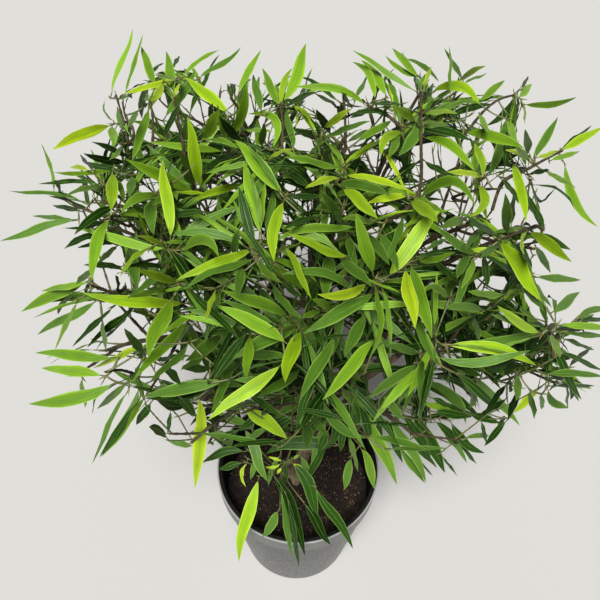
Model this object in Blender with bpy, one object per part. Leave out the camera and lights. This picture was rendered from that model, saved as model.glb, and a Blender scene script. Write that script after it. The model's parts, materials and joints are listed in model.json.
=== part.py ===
"""Potted willow-leaf fig: a thin nursery pot, its filling, a trunk, boughs and masses of leaves.

Metres, +Z up, +X to the plant's right, +Y to its back. The origin is the centre of the pot's flat
underside. Each mass of leaves keeps to a cell of its own inside the crown, so no two masses touch.
"""
import math
import random
from dataclasses import dataclass, field
from typing import Callable

import bmesh
import bpy
from mathutils import Matrix, Vector
from mathutils.bvhtree import BVHTree

# Clearance between pieces that touch on the real plant
GAP = 0.0003

# Pot: a tapering body under a straight collar
POT_HEIGHT = 0.165
RIM_RADIUS = 0.085
BASE_RADIUS = 0.061
WALL = 0.0012
COLLAR_HEIGHT = 0.021
COLLAR_STEP = 0.0026
STEP_HEIGHT = 0.003
RIM_BEAD = 0.0009
RIM_BEAD_DEPTH = 0.0036
BASE_CORNER = 0.004
BASE_CORNER_MIDDLE = 0.0012
POT_SEGMENTS = 36
MERGE_DISTANCE = 0.00001
POT_SHARP_ANGLE = 35.0

# Filling: its top lies below the rim and rises a little to the trunk
FILL_TOP = 0.147
FILL_DIP = 0.003
FILL_MOUND_RADIUS = 0.032
FILL_EDGE_GAP = 0.0009

# Trunk: from the filling to the leader's stem
TRUNK_TOP = 0.362
TRUNK_LEAN = Vector((0.010, 0.040))
TRUNK_LEAN_CURVE = 1.3
TRUNK_SWAY = Vector((0.008, -0.006))
TRUNK_FOOT_RADIUS = 0.0078
TRUNK_TOP_RADIUS = 0.0034
ROOT_FLARE = 0.0058
ROOT_FLARE_HEIGHT = 0.09
ROOT_FLARE_MIDDLE = 0.036
TRUNK_RINGS = 11
TRUNK_SIDES = 10
LIMB_SHARP_ANGLE = 50.0

# Crown: a rounded box that the leaf tips fill, open below at the front
CROWN_CENTRE = Vector((0.006, 0.045, 0.428))
CROWN_REACH = Vector((0.238, 0.206, 0.140))
CROWN_REACH_DOWN = 0.175
CROWN_SQUARENESS = 2.8
TWIG_SHARE = 0.84
STRAY_TIP_SHARE = 1.07
FRONT_CLEAR_HEIGHT = 0.204
FRONT_CLEAR_SLOPE = 1.72

# Tiers of masses: name, how many, first bearing in degrees, ring and level as shares of the reach
TIERS = (
    ("low", 5, -54.0, 0.54, -0.46),
    ("wide", 7, -90.0, 0.68, 0.03),
    ("top", 5, -90.0, 0.58, 0.55),
)
LEADER_LEVEL = 0.60
CORE_SHARE = 0.1
CELL_MARGIN = 0.0006

# Low shoot: a small spray on a low bough, whose leaves hang over the rim at the front
FRONT_BOUGH_START = 0.11
FRONT_BOUGH_TIP = Vector((-0.012, -0.024, 0.208))
FRONT_BOUGH_RADII = (0.0030, 0.0022)
FRONT_SHOOT_TIP = Vector((-0.019, -0.052, 0.238))
FRONT_SHOOT_REACH = 0.105
FRONT_SHOOT_TWIGS = 3
FRONT_SHOOT_TWIG_LENGTHS = (0.024, 0.018)
FRONT_SHOOT_HANG = 1.25
FRONT_SHOOT_LEAF_LENGTH = 0.084

# Boughs: where they leave their carrier, how thick they are and how far they run
BOUGH_SIDES = 6
BOUGH_RINGS = 5
BOUGH_STARTS = {"low": (0.20, 0.34), "wide": (0.40, 0.68)}
TOP_FORK = 0.56
BOUGH_RADII = {"low": (0.0040, 0.0025), "wide": (0.0044, 0.0026), "top": (0.0030, 0.0022)}
BOUGH_HEARTS = {"low": 0.45, "wide": 0.75, "top": 0.95}
BOUGH_END_SHARES = {"low": 0.62, "wide": 0.55, "top": 0.50}
BOUGH_SAG = 0.35

# Twigs: three-sided, branching from one stem in each mass
TWIG_SIDES = 3
STEM_RINGS = 5
STEM_SHARE = 0.78
STEM_BEND = 0.45
STEM_STRAY = 0.004
STEM_TIP_RADIUS = 0.0013
TWIG_RINGS = 3
TWIG_RADII = (0.0019, 0.0011)
TWIG_COUNT = 5
TWIG_ZONE = (0.10, 0.82)
TWIG_LENGTHS = (0.078, 0.050)
TWIG_SPREAD = (64.0, 38.0)
TWIG_RISE = 0.15
TWIG_TRIES = 8
TWIG_TURN_STEP = 20.0
TWIG_SHORTER_STEP = 0.08
GOLDEN_ANGLE = 137.5
LIMB_CLEARANCE = 0.0008
POT_TESTS_PER_LENGTH = 4

# Leaves: long, narrow and pointed, folded along the middle and arched
LEAF_LENGTH = 0.072
LEAF_WIDTH = 0.0130
LEAF_THICKNESS = 0.0013
LEAF_SIZES = (0.87, 1.12)
LEAF_WIDEST = 0.42
LEAF_ARCH = 0.055
LEAF_FOLD = 0.0014
LEAF_DROOP = 0.10
LEAF_SPACING = 0.0106
LEAF_FIRST = 0.012
LEAF_SPREAD = (62.0, 30.0)
LEAF_HANG = 0.34
LEAF_HANG_FALL = 0.36
LEAF_HANG_SIZES = (0.4, 1.2)
LEAF_FACE_LEAN = 0.35
LEAF_ROLL = 38.0
LEAF_TURN = (12.0, 150.0)
LEAF_OPENING = (10.0, 15.0)
LEAF_TRIES = 9
LEAF_SMALLER = 0.20
TIP_LEAVES = 2
TIP_PLACE = 0.985
TIP_SPACING = 0.05
STRAY_CHANCE = 0.4
ROOT_SINK = 0.0009
SEED = 4127


@dataclass
class Limb:
    """A trunk, bough or stem as the tapering tube that it is made from."""
    centres: list
    radii: list
    sides: int


@dataclass
class Mass:
    """One mass of leaves: where its stem starts and aims, its rule's sizes, and its space."""
    start: Vector
    heading: Vector
    radius: float
    aim: Vector
    hang: float
    leaf_holds: Callable
    stray_holds: Callable
    twig_holds: Callable
    leaf_length: float = LEAF_LENGTH
    twig_count: int = TWIG_COUNT
    twig_lengths: tuple = TWIG_LENGTHS
    chance: random.Random = None
    stem: tuple = None
    blockers: list = field(default_factory=list)
    twig_trees: list = field(default_factory=list)
    leaf_trees: list = field(default_factory=list)


def clear_scene():
    for old in list(bpy.data.objects):
        bpy.data.objects.remove(old, do_unlink=True)


def finish(name, colour, roughness):
    """Plain surface of one colour."""
    material = bpy.data.materials.new(name)
    material.use_nodes = True
    shader = material.node_tree.nodes["Principled BSDF"]
    shader.inputs["Base Color"].default_value = (*colour, 1.0)
    shader.inputs["Roughness"].default_value = roughness
    shader.inputs["Metallic"].default_value = 0.0
    material.diffuse_color = (*colour, 1.0)
    return material


def mesh_object(name, vertices, faces, material):
    mesh = bpy.data.meshes.new(name)
    mesh.from_pydata([tuple(vertex) for vertex in vertices], [], faces)
    mesh.materials.append(material)
    mesh.validate()
    piece = bpy.data.objects.new(name, mesh)
    bpy.context.collection.objects.link(piece)
    return piece


def share_between(ends, share):
    return ends[0] + (ends[1] - ends[0]) * share


def turned(name, profile, material):
    """Solid of revolution; the profile starts and ends on the axis, and its outer side runs down."""
    shape = bmesh.new()
    corners = [shape.verts.new((radius, 0.0, height)) for radius, height in profile]
    edges = [shape.edges.new(pair) for pair in zip(corners, corners[1:])]
    bmesh.ops.spin(shape, geom=corners + edges, cent=(0, 0, 0), axis=(0, 0, 1), dvec=(0, 0, 0),
                   angle=math.tau, steps=POT_SEGMENTS, use_merge=True)
    bmesh.ops.remove_doubles(shape, verts=shape.verts, dist=MERGE_DISTANCE)
    bmesh.ops.recalc_face_normals(shape, faces=shape.faces)
    mesh = bpy.data.meshes.new(name)
    shape.to_mesh(mesh)
    shape.free()
    mesh.materials.append(material)
    mesh.shade_smooth()
    mesh.set_sharp_from_angle(angle=math.radians(POT_SHARP_ANGLE))
    piece = bpy.data.objects.new(name, mesh)
    bpy.context.collection.objects.link(piece)
    return piece


def body_radius(height):
    """Outer radius of the pot's tapering body, below its collar."""
    body_top = POT_HEIGHT - COLLAR_HEIGHT
    return BASE_RADIUS + (RIM_RADIUS - COLLAR_STEP - BASE_RADIUS) * height / body_top


def inner_radius(height):
    """Radius of the pot's inside, which follows its outside a wall's thickness in."""
    body_top = POT_HEIGHT - COLLAR_HEIGHT
    if height <= body_top - STEP_HEIGHT:
        return body_radius(height) - WALL
    if height < body_top:
        share = (height - body_top + STEP_HEIGHT) / STEP_HEIGHT
        narrow = body_radius(body_top - STEP_HEIGHT) - WALL
        return share_between((narrow, RIM_RADIUS - RIM_BEAD - WALL), share)
    return RIM_RADIUS - RIM_BEAD - WALL


def make_pot(material):
    body_top = POT_HEIGHT - COLLAR_HEIGHT
    collar_radius = RIM_RADIUS - RIM_BEAD
    inner_floor = inner_radius(WALL + BASE_CORNER)
    inside = [(0.0, WALL), (inner_floor - BASE_CORNER, WALL), (inner_floor, WALL + BASE_CORNER)]
    inside += [(inner_radius(body_top - STEP_HEIGHT), body_top - STEP_HEIGHT)]
    inside += [(inner_radius(body_top), body_top), (inner_radius(POT_HEIGHT), POT_HEIGHT - RIM_BEAD)]
    rim = [(inner_radius(POT_HEIGHT) + RIM_BEAD, POT_HEIGHT)]
    rim += [(RIM_RADIUS - RIM_BEAD, POT_HEIGHT), (RIM_RADIUS, POT_HEIGHT - RIM_BEAD)]
    bead_foot = POT_HEIGHT - RIM_BEAD_DEPTH
    rim += [(RIM_RADIUS, bead_foot + RIM_BEAD), (collar_radius, bead_foot)]
    outside = [(collar_radius, body_top - WALL), (body_radius(body_top), body_top - WALL - STEP_HEIGHT)]
    outside += [(body_radius(BASE_CORNER), BASE_CORNER)]
    outside += [(BASE_RADIUS - BASE_CORNER_MIDDLE, BASE_CORNER_MIDDLE)]
    outside += [(BASE_RADIUS - BASE_CORNER, 0.0)]
    return turned("pot", inside + rim + outside + [(0.0, 0.0)], material)


def make_filling(material):
    """Filling of the pot: a plug, clear of the pot all round."""
    step_foot = POT_HEIGHT - COLLAR_HEIGHT - STEP_HEIGHT
    edge_height = FILL_TOP - FILL_DIP
    floor = WALL + GAP
    corner_radius = inner_radius(WALL + BASE_CORNER) - GAP
    profile = [(0.0, FILL_TOP), (FILL_MOUND_RADIUS, FILL_TOP)]
    profile += [(inner_radius(edge_height) - FILL_EDGE_GAP, edge_height)]
    profile += [(inner_radius(step_foot) - GAP, step_foot - GAP)]
    profile += [(corner_radius, floor + BASE_CORNER), (corner_radius - BASE_CORNER, floor)]
    return turned("potting_mix", profile + [(0.0, floor)], material)


def tube(centres, radii, sides):
    """Vertices and faces of a closed tapering tube with flat ends."""
    vertices = []
    faces = []
    heading = (centres[1] - centres[0]).normalized()
    across = heading.orthogonal().normalized()
    last = len(centres) - 1
    for ring, (centre, radius) in enumerate(zip(centres, radii)):
        ahead = (centres[min(ring + 1, last)] - centres[max(ring - 1, 0)]).normalized()
        across = heading.rotation_difference(ahead) @ across
        heading = ahead
        beside = heading.cross(across)
        for corner in range(sides):
            angle = math.tau * corner / sides
            vertices.append(centre + (across * math.cos(angle) + beside * math.sin(angle)) * radius)
    for ring in range(last):
        low = ring * sides
        high = low + sides
        for corner in range(sides):
            after = (corner + 1) % sides
            faces.append((low + corner, low + after, high + after, high + corner))
    faces.append(tuple(reversed(range(sides))))
    faces.append(tuple(range(last * sides, last * sides + sides)))
    return vertices, faces


def skin_of(limb, clearance):
    """Tube round a limb, a clearance off its surface."""
    longer = list(limb.centres)
    longer[-1] = longer[-1] + (longer[-1] - longer[-2]).normalized() * clearance
    return tube(longer, [radius + clearance for radius in limb.radii], limb.sides)


def smooth_round(piece):
    piece.data.shade_smooth()
    piece.data.set_sharp_from_angle(angle=math.radians(LIMB_SHARP_ANGLE))


def trunk_place(share):
    """Centre of the trunk at a share of its height: it leans back and sways once."""
    sideways = TRUNK_LEAN * share ** TRUNK_LEAN_CURVE + TRUNK_SWAY * math.sin(math.pi * share)
    foot = FILL_TOP + GAP
    return Vector((sideways.x, sideways.y, foot + (TRUNK_TOP - foot) * share))


def trunk_radius(share):
    flare = ROOT_FLARE * max(0.0, 1.0 - share / ROOT_FLARE_HEIGHT) ** 2
    return share_between((TRUNK_FOOT_RADIUS, TRUNK_TOP_RADIUS), share) + flare


def make_trunk(material):
    """Trunk with its root flare; the flare's rings lie closer together than the rest."""
    shares = [0.0, ROOT_FLARE_MIDDLE, ROOT_FLARE_HEIGHT]
    higher = TRUNK_RINGS - len(shares)
    shares += [share_between((ROOT_FLARE_HEIGHT, 1.0), (ring + 1) / higher) for ring in range(higher)]
    centres = [trunk_place(share) for share in shares]
    radii = [trunk_radius(share) for share in shares]
    vertices, faces = tube(centres, radii, TRUNK_SIDES)
    for vertex in vertices[:TRUNK_SIDES]:
        vertex.z = FILL_TOP + GAP
    piece = mesh_object("trunk", vertices, faces, material)
    smooth_round(piece)
    return Limb(centres, radii, TRUNK_SIDES)


def bent_path(start, middle, end, rings):
    """Points on a curve that leaves the start towards the middle point and ends at the end."""
    path = []
    for ring in range(rings):
        share = ring / (rings - 1)
        near = start.lerp(middle, share)
        path.append(near.lerp(middle.lerp(end, share), share))
    return path


def make_bough(name, carrier, start, end, radii, sag, material):
    """Tapering bough from its carrier's axis to its end, cut back to a gap from the carrier."""
    middle = start.lerp(end, 0.5)
    middle.z -= sag * (end - start).to_2d().length
    centres = bent_path(start, middle, end, BOUGH_RINGS)
    widths = tapering(radii, BOUGH_RINGS)
    piece = mesh_object(name, *tube(centres, widths, BOUGH_SIDES), material)
    cutter = mesh_object(name + "_cutter", *skin_of(carrier, GAP), material)
    cutter.hide_render = True
    cutter.display_type = "WIRE"
    cut_by(piece, cutter)
    smooth_round(piece)
    return Limb(centres, widths, BOUGH_SIDES)


def cut_by(piece, cutter):
    """Take the cutter's shape out of the piece and keep the result as the piece's own mesh."""
    cut = piece.modifiers.new("seat", "BOOLEAN")
    cut.operation = "DIFFERENCE"
    cut.object = cutter
    keep_result(piece)
    bpy.data.objects.remove(cutter, do_unlink=True)


def keep_result(piece):
    """Replace a piece's mesh by the result of its modifiers."""
    bpy.context.view_layer.update()
    graph = bpy.context.evaluated_depsgraph_get()
    result = bpy.data.meshes.new_from_object(piece.evaluated_get(graph))
    piece.modifiers.clear()
    piece.data = result


def crown_reach(direction_up):
    """Half-widths of the crown's rounded box, which is deeper below its centre than above."""
    height = CROWN_REACH.z if direction_up > 0.0 else CROWN_REACH_DOWN
    return Vector((CROWN_REACH.x, CROWN_REACH.y, height))


def crown_share(place):
    """0 at the crown's centre and 1 on the rounded box that holds its leaf tips."""
    offset = place - CROWN_CENTRE
    reach = crown_reach(offset.z)
    total = sum(abs(offset[axis] / reach[axis]) ** CROWN_SQUARENESS for axis in range(3))
    return total ** (1.0 / CROWN_SQUARENESS)


def height_over_front(place):
    """Height over the slope that bounds the crown's underside at the front."""
    return place.z - FRONT_CLEAR_HEIGHT - FRONT_CLEAR_SLOPE * -place.y


def mass_centres():
    """Name and centre of each mass of the crown, tier by tier."""
    masses = []
    for tier, count, first, ring, level in TIERS:
        for number in range(count):
            bearing = math.radians(first + 360.0 * number / count)
            offset = Vector((ring * math.cos(bearing), ring * math.sin(bearing), level))
            masses.append((f"{tier}_{number + 1}", CROWN_CENTRE + offset * crown_reach(level)))
    masses.append(("leader", CROWN_CENTRE + Vector((0.0, 0.0, LEADER_LEVEL * CROWN_REACH.z))))
    return masses


def cell_of(centre, masses):
    """Planes halfway to the other masses' centres: (outward direction, distance along it)."""
    planes = []
    for _, other in masses:
        apart = other - centre
        if apart.length > 0.0:
            outward = apart.normalized()
            planes.append((outward, outward.dot(centre.lerp(other, 0.5)) - CELL_MARGIN))
    return planes


def within_crown_cell(planes, limit):
    """Test for a place in one mass's cell, within a share of the crown's reach."""
    def holds(place):
        if crown_share(place) > limit or height_over_front(place) < 0.0:
            return False
        return all(outward.dot(place) < distance for outward, distance in planes)
    return holds


def within_front_shoot(place):
    """Test for a place in the low shoot's own space, in front of and under the crown."""
    under_crown = height_over_front(place) < -CELL_MARGIN
    return under_crown and (place - FRONT_SHOOT_TIP).length < FRONT_SHOOT_REACH


def clear_of_pot(place, clearance):
    """True over the rim, outside the pot, or inside it over the filling."""
    across = place.to_2d().length
    if place.z > POT_HEIGHT + clearance or across > RIM_RADIUS + clearance:
        return True
    return across < inner_radius(place.z) - clearance and place.z > FILL_TOP + clearance


def leaf_shape(root, along, face, length, width):
    """Bent octahedron: root, two edges, top and underside of the widest place, and tip."""
    side = face.cross(along).normalized()
    face = along.cross(side).normalized()
    arch = length * LEAF_ARCH
    rib = root + along * length * LEAF_WIDEST + face * arch
    tip = root + along * length - face * length * LEAF_DROOP
    half = side * width * 0.5 + face * LEAF_FOLD
    thick = face * LEAF_THICKNESS * 0.5
    corners = [root, rib + half, rib - half + face * LEAF_FOLD * 2.0, rib + thick, rib - thick, tip]
    faces = [(0, 3, 1), (0, 2, 3), (0, 1, 4), (0, 4, 2), (5, 1, 3), (5, 3, 2), (5, 4, 1), (5, 2, 4)]
    return corners, faces


def fits(places, shape, holds, blockers):
    """True where a leaf or twig keeps to its space and clears the pot and everything in its way."""
    if not all(holds(place) for place in places):
        return False
    for start, end in zip(places, places[1:]):
        for test in range(POT_TESTS_PER_LENGTH + 1):
            if not clear_of_pot(start.lerp(end, test / POT_TESTS_PER_LENGTH), LIMB_CLEARANCE):
                return False
    tree = BVHTree.FromPolygons(*shape)
    return not any(tree.overlap(blocker) for blocker in blockers)


def turned_about(vector, axis, degrees):
    return Matrix.Rotation(math.radians(degrees), 3, axis) @ vector


def place_along(path, share):
    """Place and heading at a share of the way along a path."""
    step = share * (len(path) - 1)
    ring = min(int(step), len(path) - 2)
    return path[ring].lerp(path[ring + 1], step - ring), (path[ring + 1] - path[ring]).normalized()


def branching(heading, bearing, spread):
    """Direction that leaves a heading at an angle, on the side that the bearing gives."""
    across = turned_about(heading.orthogonal().normalized(), heading, bearing)
    angle = math.radians(spread)
    return heading * math.cos(angle) + across * math.sin(angle)


def swing(chance):
    return chance.uniform(-1.0, 1.0)


def leaf_on(root, heading, bearing, spread, mass, blockers):
    """One leaf with its root sunk in the twig, or None where no try at it fits."""
    chance = mass.chance
    for attempt in range(LEAF_TRIES):
        loosen = attempt / LEAF_TRIES
        turn = bearing + swing(chance) * (LEAF_TURN[0] + LEAF_TURN[1] * loosen)
        opening = spread + swing(chance) * LEAF_OPENING[0] - LEAF_OPENING[1] * loosen
        along = branching(heading, turn, opening)
        along.z -= mass.hang * chance.uniform(*LEAF_HANG_SIZES)
        along.normalize()
        face = Vector((0.0, 0.0, 1.0)) + heading * LEAF_FACE_LEAN
        face = turned_about(face, along, swing(chance) * LEAF_ROLL)
        smaller = 1.0 - LEAF_SMALLER * loosen
        length = mass.leaf_length * chance.uniform(*LEAF_SIZES) * smaller
        width = LEAF_WIDTH * chance.uniform(*LEAF_SIZES) * smaller
        shape = leaf_shape(root - along * ROOT_SINK, along, face, length, width)
        holds = mass.stray_holds if chance.random() < STRAY_CHANCE else mass.leaf_holds
        if fits(shape[0], shape, holds, blockers):
            return shape
    return None


def leafy_twig(centres, own_tree, mass):
    """Leaves up one twig, turned by the golden angle, with a few close together at its tip."""
    leaves = []
    length = sum((after - before).length for before, after in zip(centres, centres[1:]))
    count = max(1, int((length - LEAF_FIRST) / LEAF_SPACING) + 1)
    shares = [min(TIP_PLACE, (LEAF_FIRST + LEAF_SPACING * number) / length) for number in range(count)]
    shares += [TIP_PLACE - TIP_SPACING * number for number in range(TIP_LEAVES)]
    bearing = mass.chance.uniform(0.0, 360.0)
    others = [tree for tree in mass.twig_trees if tree is not own_tree]
    for share in shares:
        root, heading = place_along(centres, share)
        blockers = mass.blockers + others + mass.leaf_trees
        leaf = leaf_on(root, heading, bearing, share_between(LEAF_SPREAD, share), mass, blockers)
        bearing += GOLDEN_ANGLE
        if leaf:
            leaves.append(leaf)
            mass.leaf_trees.append(BVHTree.FromPolygons(*leaf))
    return leaves


def tapering(radii, rings):
    return [share_between(radii, ring / (rings - 1)) for ring in range(rings)]


def stem_of(mass):
    """Stem of a mass: on from its carrier's tip, then bending towards the mass's outer side."""
    start = mass.start + mass.heading * GAP
    stray = Vector((swing(mass.chance), swing(mass.chance), swing(mass.chance))) * STEM_STRAY
    end = mass.aim + stray
    middle = start + mass.heading * (end - start).length * STEM_BEND
    centres = bent_path(start, middle, end, STEM_RINGS)
    centres[1] = start + mass.heading * (centres[1] - start).length
    return centres, tapering((mass.radius, STEM_TIP_RADIUS), STEM_RINGS)


def side_twig(stem, share, bearing, mass):
    """One twig off a stem, shorter and closer to the stem's heading towards its tip."""
    root, heading = place_along(stem, share)
    for attempt in range(TWIG_TRIES):
        turn = bearing + swing(mass.chance) * TWIG_TURN_STEP * attempt
        outward = branching(heading, turn, share_between(TWIG_SPREAD, share))
        length = share_between(mass.twig_lengths, share) * (1.0 - TWIG_SHORTER_STEP * attempt)
        rise = Vector((0.0, 0.0, TWIG_RISE * length))
        centres = bent_path(root, root + outward * length * 0.5, root + outward * length + rise, TWIG_RINGS)
        shape = tube(centres, tapering(TWIG_RADII, TWIG_RINGS), TWIG_SIDES)
        if fits(shape[0][TWIG_SIDES:], shape, mass.twig_holds, mass.blockers):
            return centres
    return None


def side_twigs(stem, mass):
    """Twigs off a stem, turned by the golden angle."""
    twigs = []
    bearing = mass.chance.uniform(0.0, 360.0)
    for number in range(mass.twig_count):
        share = share_between(TWIG_ZONE, number / (mass.twig_count - 1))
        bearing += GOLDEN_ANGLE
        twig = side_twig(stem, share, bearing, mass)
        if twig:
            twigs.append(twig)
    return twigs


def fuse(name, shapes, material):
    """One solid from the stem and all that grows on it, without the scraps that miss it."""
    stem = mesh_object(name, *shapes[0], material)
    growth = bpy.data.collections.new(name + "_growth")
    bpy.context.scene.collection.children.link(growth)
    for number, shape in enumerate(shapes[1:]):
        piece = mesh_object(f"{name}_growth_{number}", *shape, material)
        bpy.context.collection.objects.unlink(piece)
        growth.objects.link(piece)
    union = stem.modifiers.new("fuse", "BOOLEAN")
    union.operation = "UNION"
    union.operand_type = "COLLECTION"
    union.collection = growth
    union.solver = "MANIFOLD"
    keep_result(stem)
    for piece in list(growth.objects):
        bpy.data.objects.remove(piece, do_unlink=True)
    bpy.data.collections.remove(growth)
    keep_largest(stem.data)
    return stem


def keep_largest(mesh):
    """Drop every loose part of a mesh but the one with the most vertices."""
    shape = bmesh.new()
    shape.from_mesh(mesh)
    waiting = set(shape.verts)
    parts = []
    while waiting:
        part = set()
        to_visit = [waiting.pop()]
        while to_visit:
            vertex = to_visit.pop()
            part.add(vertex)
            for edge in vertex.link_edges:
                other = edge.other_vert(vertex)
                if other in waiting:
                    waiting.remove(other)
                    to_visit.append(other)
        parts.append(part)
    parts.sort(key=len)
    scraps = [vertex for part in parts[:-1] for vertex in part]
    bmesh.ops.delete(shape, geom=scraps, context="VERTS")
    shape.to_mesh(mesh)
    shape.free()


def grow_mass(name, mass, material):
    """One mass of leaves: its stem, its twigs and their leaves, fused."""
    stem, stem_radii = mass.stem
    twigs = side_twigs(stem, mass)
    tubes = [tube(stem, stem_radii, TWIG_SIDES)]
    tubes += [tube(twig, tapering(TWIG_RADII, TWIG_RINGS), TWIG_SIDES) for twig in twigs]
    mass.twig_trees = [BVHTree.FromPolygons(*shape) for shape in tubes]
    leaves = []
    for centres, tree in zip([stem] + twigs, mass.twig_trees):
        leaves += leafy_twig(centres, tree, mass)
    return fuse(name, tubes + leaves, material)


def tip_of(limb):
    """Place, heading and radius of a limb's end, where a mass's stem goes on from it."""
    heading = (limb.centres[-1] - limb.centres[-2]).normalized()
    return limb.centres[-1], heading, limb.radii[-1]


def bough_end(tier, centre):
    """Where a bough ends: on the way from a place on the trunk out to its mass's centre."""
    return trunk_place(BOUGH_HEARTS[tier]).lerp(centre, BOUGH_END_SHARES[tier])


def trunk_boughs(tier, centres, trunk, material):
    """A bough from the trunk to each mass of a tier; neighbours leave it at heights well apart."""
    boughs = {}
    for number, (name, centre) in enumerate(centres.items()):
        order = number % 2 * ((len(centres) + 1) // 2) + number // 2
        start = trunk_place(share_between(BOUGH_STARTS[tier], order / (len(centres) - 1)))
        boughs[name] = make_bough("bough_" + name, trunk, start, bough_end(tier, centre),
                                  BOUGH_RADII[tier], BOUGH_SAG, material)
    return boughs


def forked_boughs(centres, carriers, carrier_centres, material):
    """A bough to each top mass, forking off the wide bough whose mass lies nearest."""
    boughs = {}
    for name, centre in centres.items():
        nearest = min(carriers, key=lambda other: (carrier_centres[other] - centre).length)
        start, _ = place_along(carriers[nearest].centres, TOP_FORK)
        boughs[name] = make_bough("bough_" + name, carriers[nearest], start, bough_end("top", centre),
                                  BOUGH_RADII["top"], 0.0, material)
    return boughs


def make_boughs(trunk, material):
    """Every bough by the name of the mass that it carries; the trunk itself carries the leader."""
    tiers = {tier: {} for tier, *_ in TIERS}
    for name, centre in mass_centres():
        tier = name.split("_")[0]
        if tier in tiers:
            tiers[tier][name] = centre
    boughs = trunk_boughs("low", tiers["low"], trunk, material)
    wide = trunk_boughs("wide", tiers["wide"], trunk, material)
    boughs |= wide
    boughs |= forked_boughs(tiers["top"], wide, tiers["wide"], material)
    boughs["front_shoot"] = make_bough("bough_front_shoot", trunk, trunk_place(FRONT_BOUGH_START),
                                       FRONT_BOUGH_TIP, FRONT_BOUGH_RADII, -BOUGH_SAG, material)
    return boughs


def crown_mass(name, centre, centres, carrier):
    """Mass of the crown, in a cell between its neighbours'; its leaves hang more the lower it is."""
    planes = cell_of(centre, centres)
    level = (centre.z - CROWN_CENTRE.z) / CROWN_REACH.z
    aim = CROWN_CENTRE.lerp(centre, STEM_SHARE / max(crown_share(centre), CORE_SHARE))
    return Mass(*tip_of(carrier), aim=aim, hang=LEAF_HANG - LEAF_HANG_FALL * level,
                leaf_holds=within_crown_cell(planes, 1.0),
                stray_holds=within_crown_cell(planes, STRAY_TIP_SHARE),
                twig_holds=within_crown_cell(planes, TWIG_SHARE))


def front_mass(carrier):
    """Low shoot's mass, whose long leaves hang over the rim."""
    return Mass(*tip_of(carrier), aim=FRONT_SHOOT_TIP, hang=FRONT_SHOOT_HANG,
                leaf_holds=within_front_shoot, stray_holds=within_front_shoot,
                twig_holds=within_front_shoot, leaf_length=FRONT_SHOOT_LEAF_LENGTH,
                twig_count=FRONT_SHOOT_TWIGS, twig_lengths=FRONT_SHOOT_TWIG_LENGTHS)


def plan_masses(trunk, boughs):
    """Every mass with its seeded chance and its stem, by name."""
    centres = mass_centres()
    masses = {}
    for name, centre in centres:
        masses[name] = crown_mass(name, centre, centres, boughs.get(name, trunk))
    masses["front_shoot"] = front_mass(boughs["front_shoot"])
    for number, mass in enumerate(masses.values()):
        mass.chance = random.Random(SEED + number)
        mass.stem = stem_of(mass)
    return masses


def block_masses(masses, limbs):
    """What each mass's leaves keep clear of: every limb, and the other masses' stems."""
    limb_trees = [BVHTree.FromPolygons(*skin_of(limb, LIMB_CLEARANCE)) for limb in limbs]
    stem_trees = {}
    for name, mass in masses.items():
        stem = Limb(*mass.stem, TWIG_SIDES)
        stem_trees[name] = BVHTree.FromPolygons(*skin_of(stem, LIMB_CLEARANCE))
    for name, mass in masses.items():
        mass.blockers = limb_trees + [stem_trees[other] for other in masses if other != name]


def make_plant():
    clear_scene()
    plastic = finish("grey_pot_plastic", (0.155, 0.16, 0.16), 0.42)
    mix = finish("potting_mix", (0.035, 0.022, 0.015), 0.95)
    bark = finish("fig_bark", (0.24, 0.17, 0.11), 0.8)
    leaf = finish("fig_leaf", (0.07, 0.20, 0.035), 0.42)
    make_pot(plastic)
    make_filling(mix)
    trunk = make_trunk(bark)
    boughs = make_boughs(trunk, bark)
    masses = plan_masses(trunk, boughs)
    block_masses(masses, [trunk] + list(boughs.values()))
    for name, mass in masses.items():
        grow_mass("foliage_" + name, mass, leaf)
    plant = bpy.data.objects.new("potted_fig", None)
    bpy.context.collection.objects.link(plant)
    for piece in list(bpy.data.objects):
        if piece.type == "MESH":
            piece.parent = plant


make_plant()
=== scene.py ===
"""Potted willow-leaf fig: the looks of its pot, potting mix, bark, twigs and leaves.

Metres, +Z up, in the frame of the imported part. Limbs, stems and twigs follow the rule and the sizes of
the solids that they replace, and are carried on to finer shoots and to leaves of real size.
"""
import json
import math
import random
from dataclasses import dataclass, field
from typing import Callable

import bmesh
import bpy
import numpy
from mathutils import Matrix, Quaternion, Vector, noise
from mathutils.bvhtree import BVHTree
from mathutils.kdtree import KDTree

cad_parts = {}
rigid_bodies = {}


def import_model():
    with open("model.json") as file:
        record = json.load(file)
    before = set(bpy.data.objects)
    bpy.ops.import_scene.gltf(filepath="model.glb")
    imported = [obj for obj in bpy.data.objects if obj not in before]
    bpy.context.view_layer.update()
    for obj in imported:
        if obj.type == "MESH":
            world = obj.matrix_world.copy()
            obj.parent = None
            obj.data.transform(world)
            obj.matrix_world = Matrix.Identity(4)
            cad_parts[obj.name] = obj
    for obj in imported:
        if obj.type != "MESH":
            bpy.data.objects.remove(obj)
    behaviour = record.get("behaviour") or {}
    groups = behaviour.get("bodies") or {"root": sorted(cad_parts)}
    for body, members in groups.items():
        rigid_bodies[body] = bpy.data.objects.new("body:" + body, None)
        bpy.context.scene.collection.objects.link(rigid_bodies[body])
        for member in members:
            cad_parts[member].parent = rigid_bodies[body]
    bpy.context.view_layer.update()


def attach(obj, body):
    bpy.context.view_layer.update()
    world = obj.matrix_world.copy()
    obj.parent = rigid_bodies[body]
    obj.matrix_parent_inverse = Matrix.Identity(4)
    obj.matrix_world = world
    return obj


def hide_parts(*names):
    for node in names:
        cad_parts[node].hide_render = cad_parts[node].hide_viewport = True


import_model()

# Clearance between pieces of the solids
GAP = 0.0003

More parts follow.
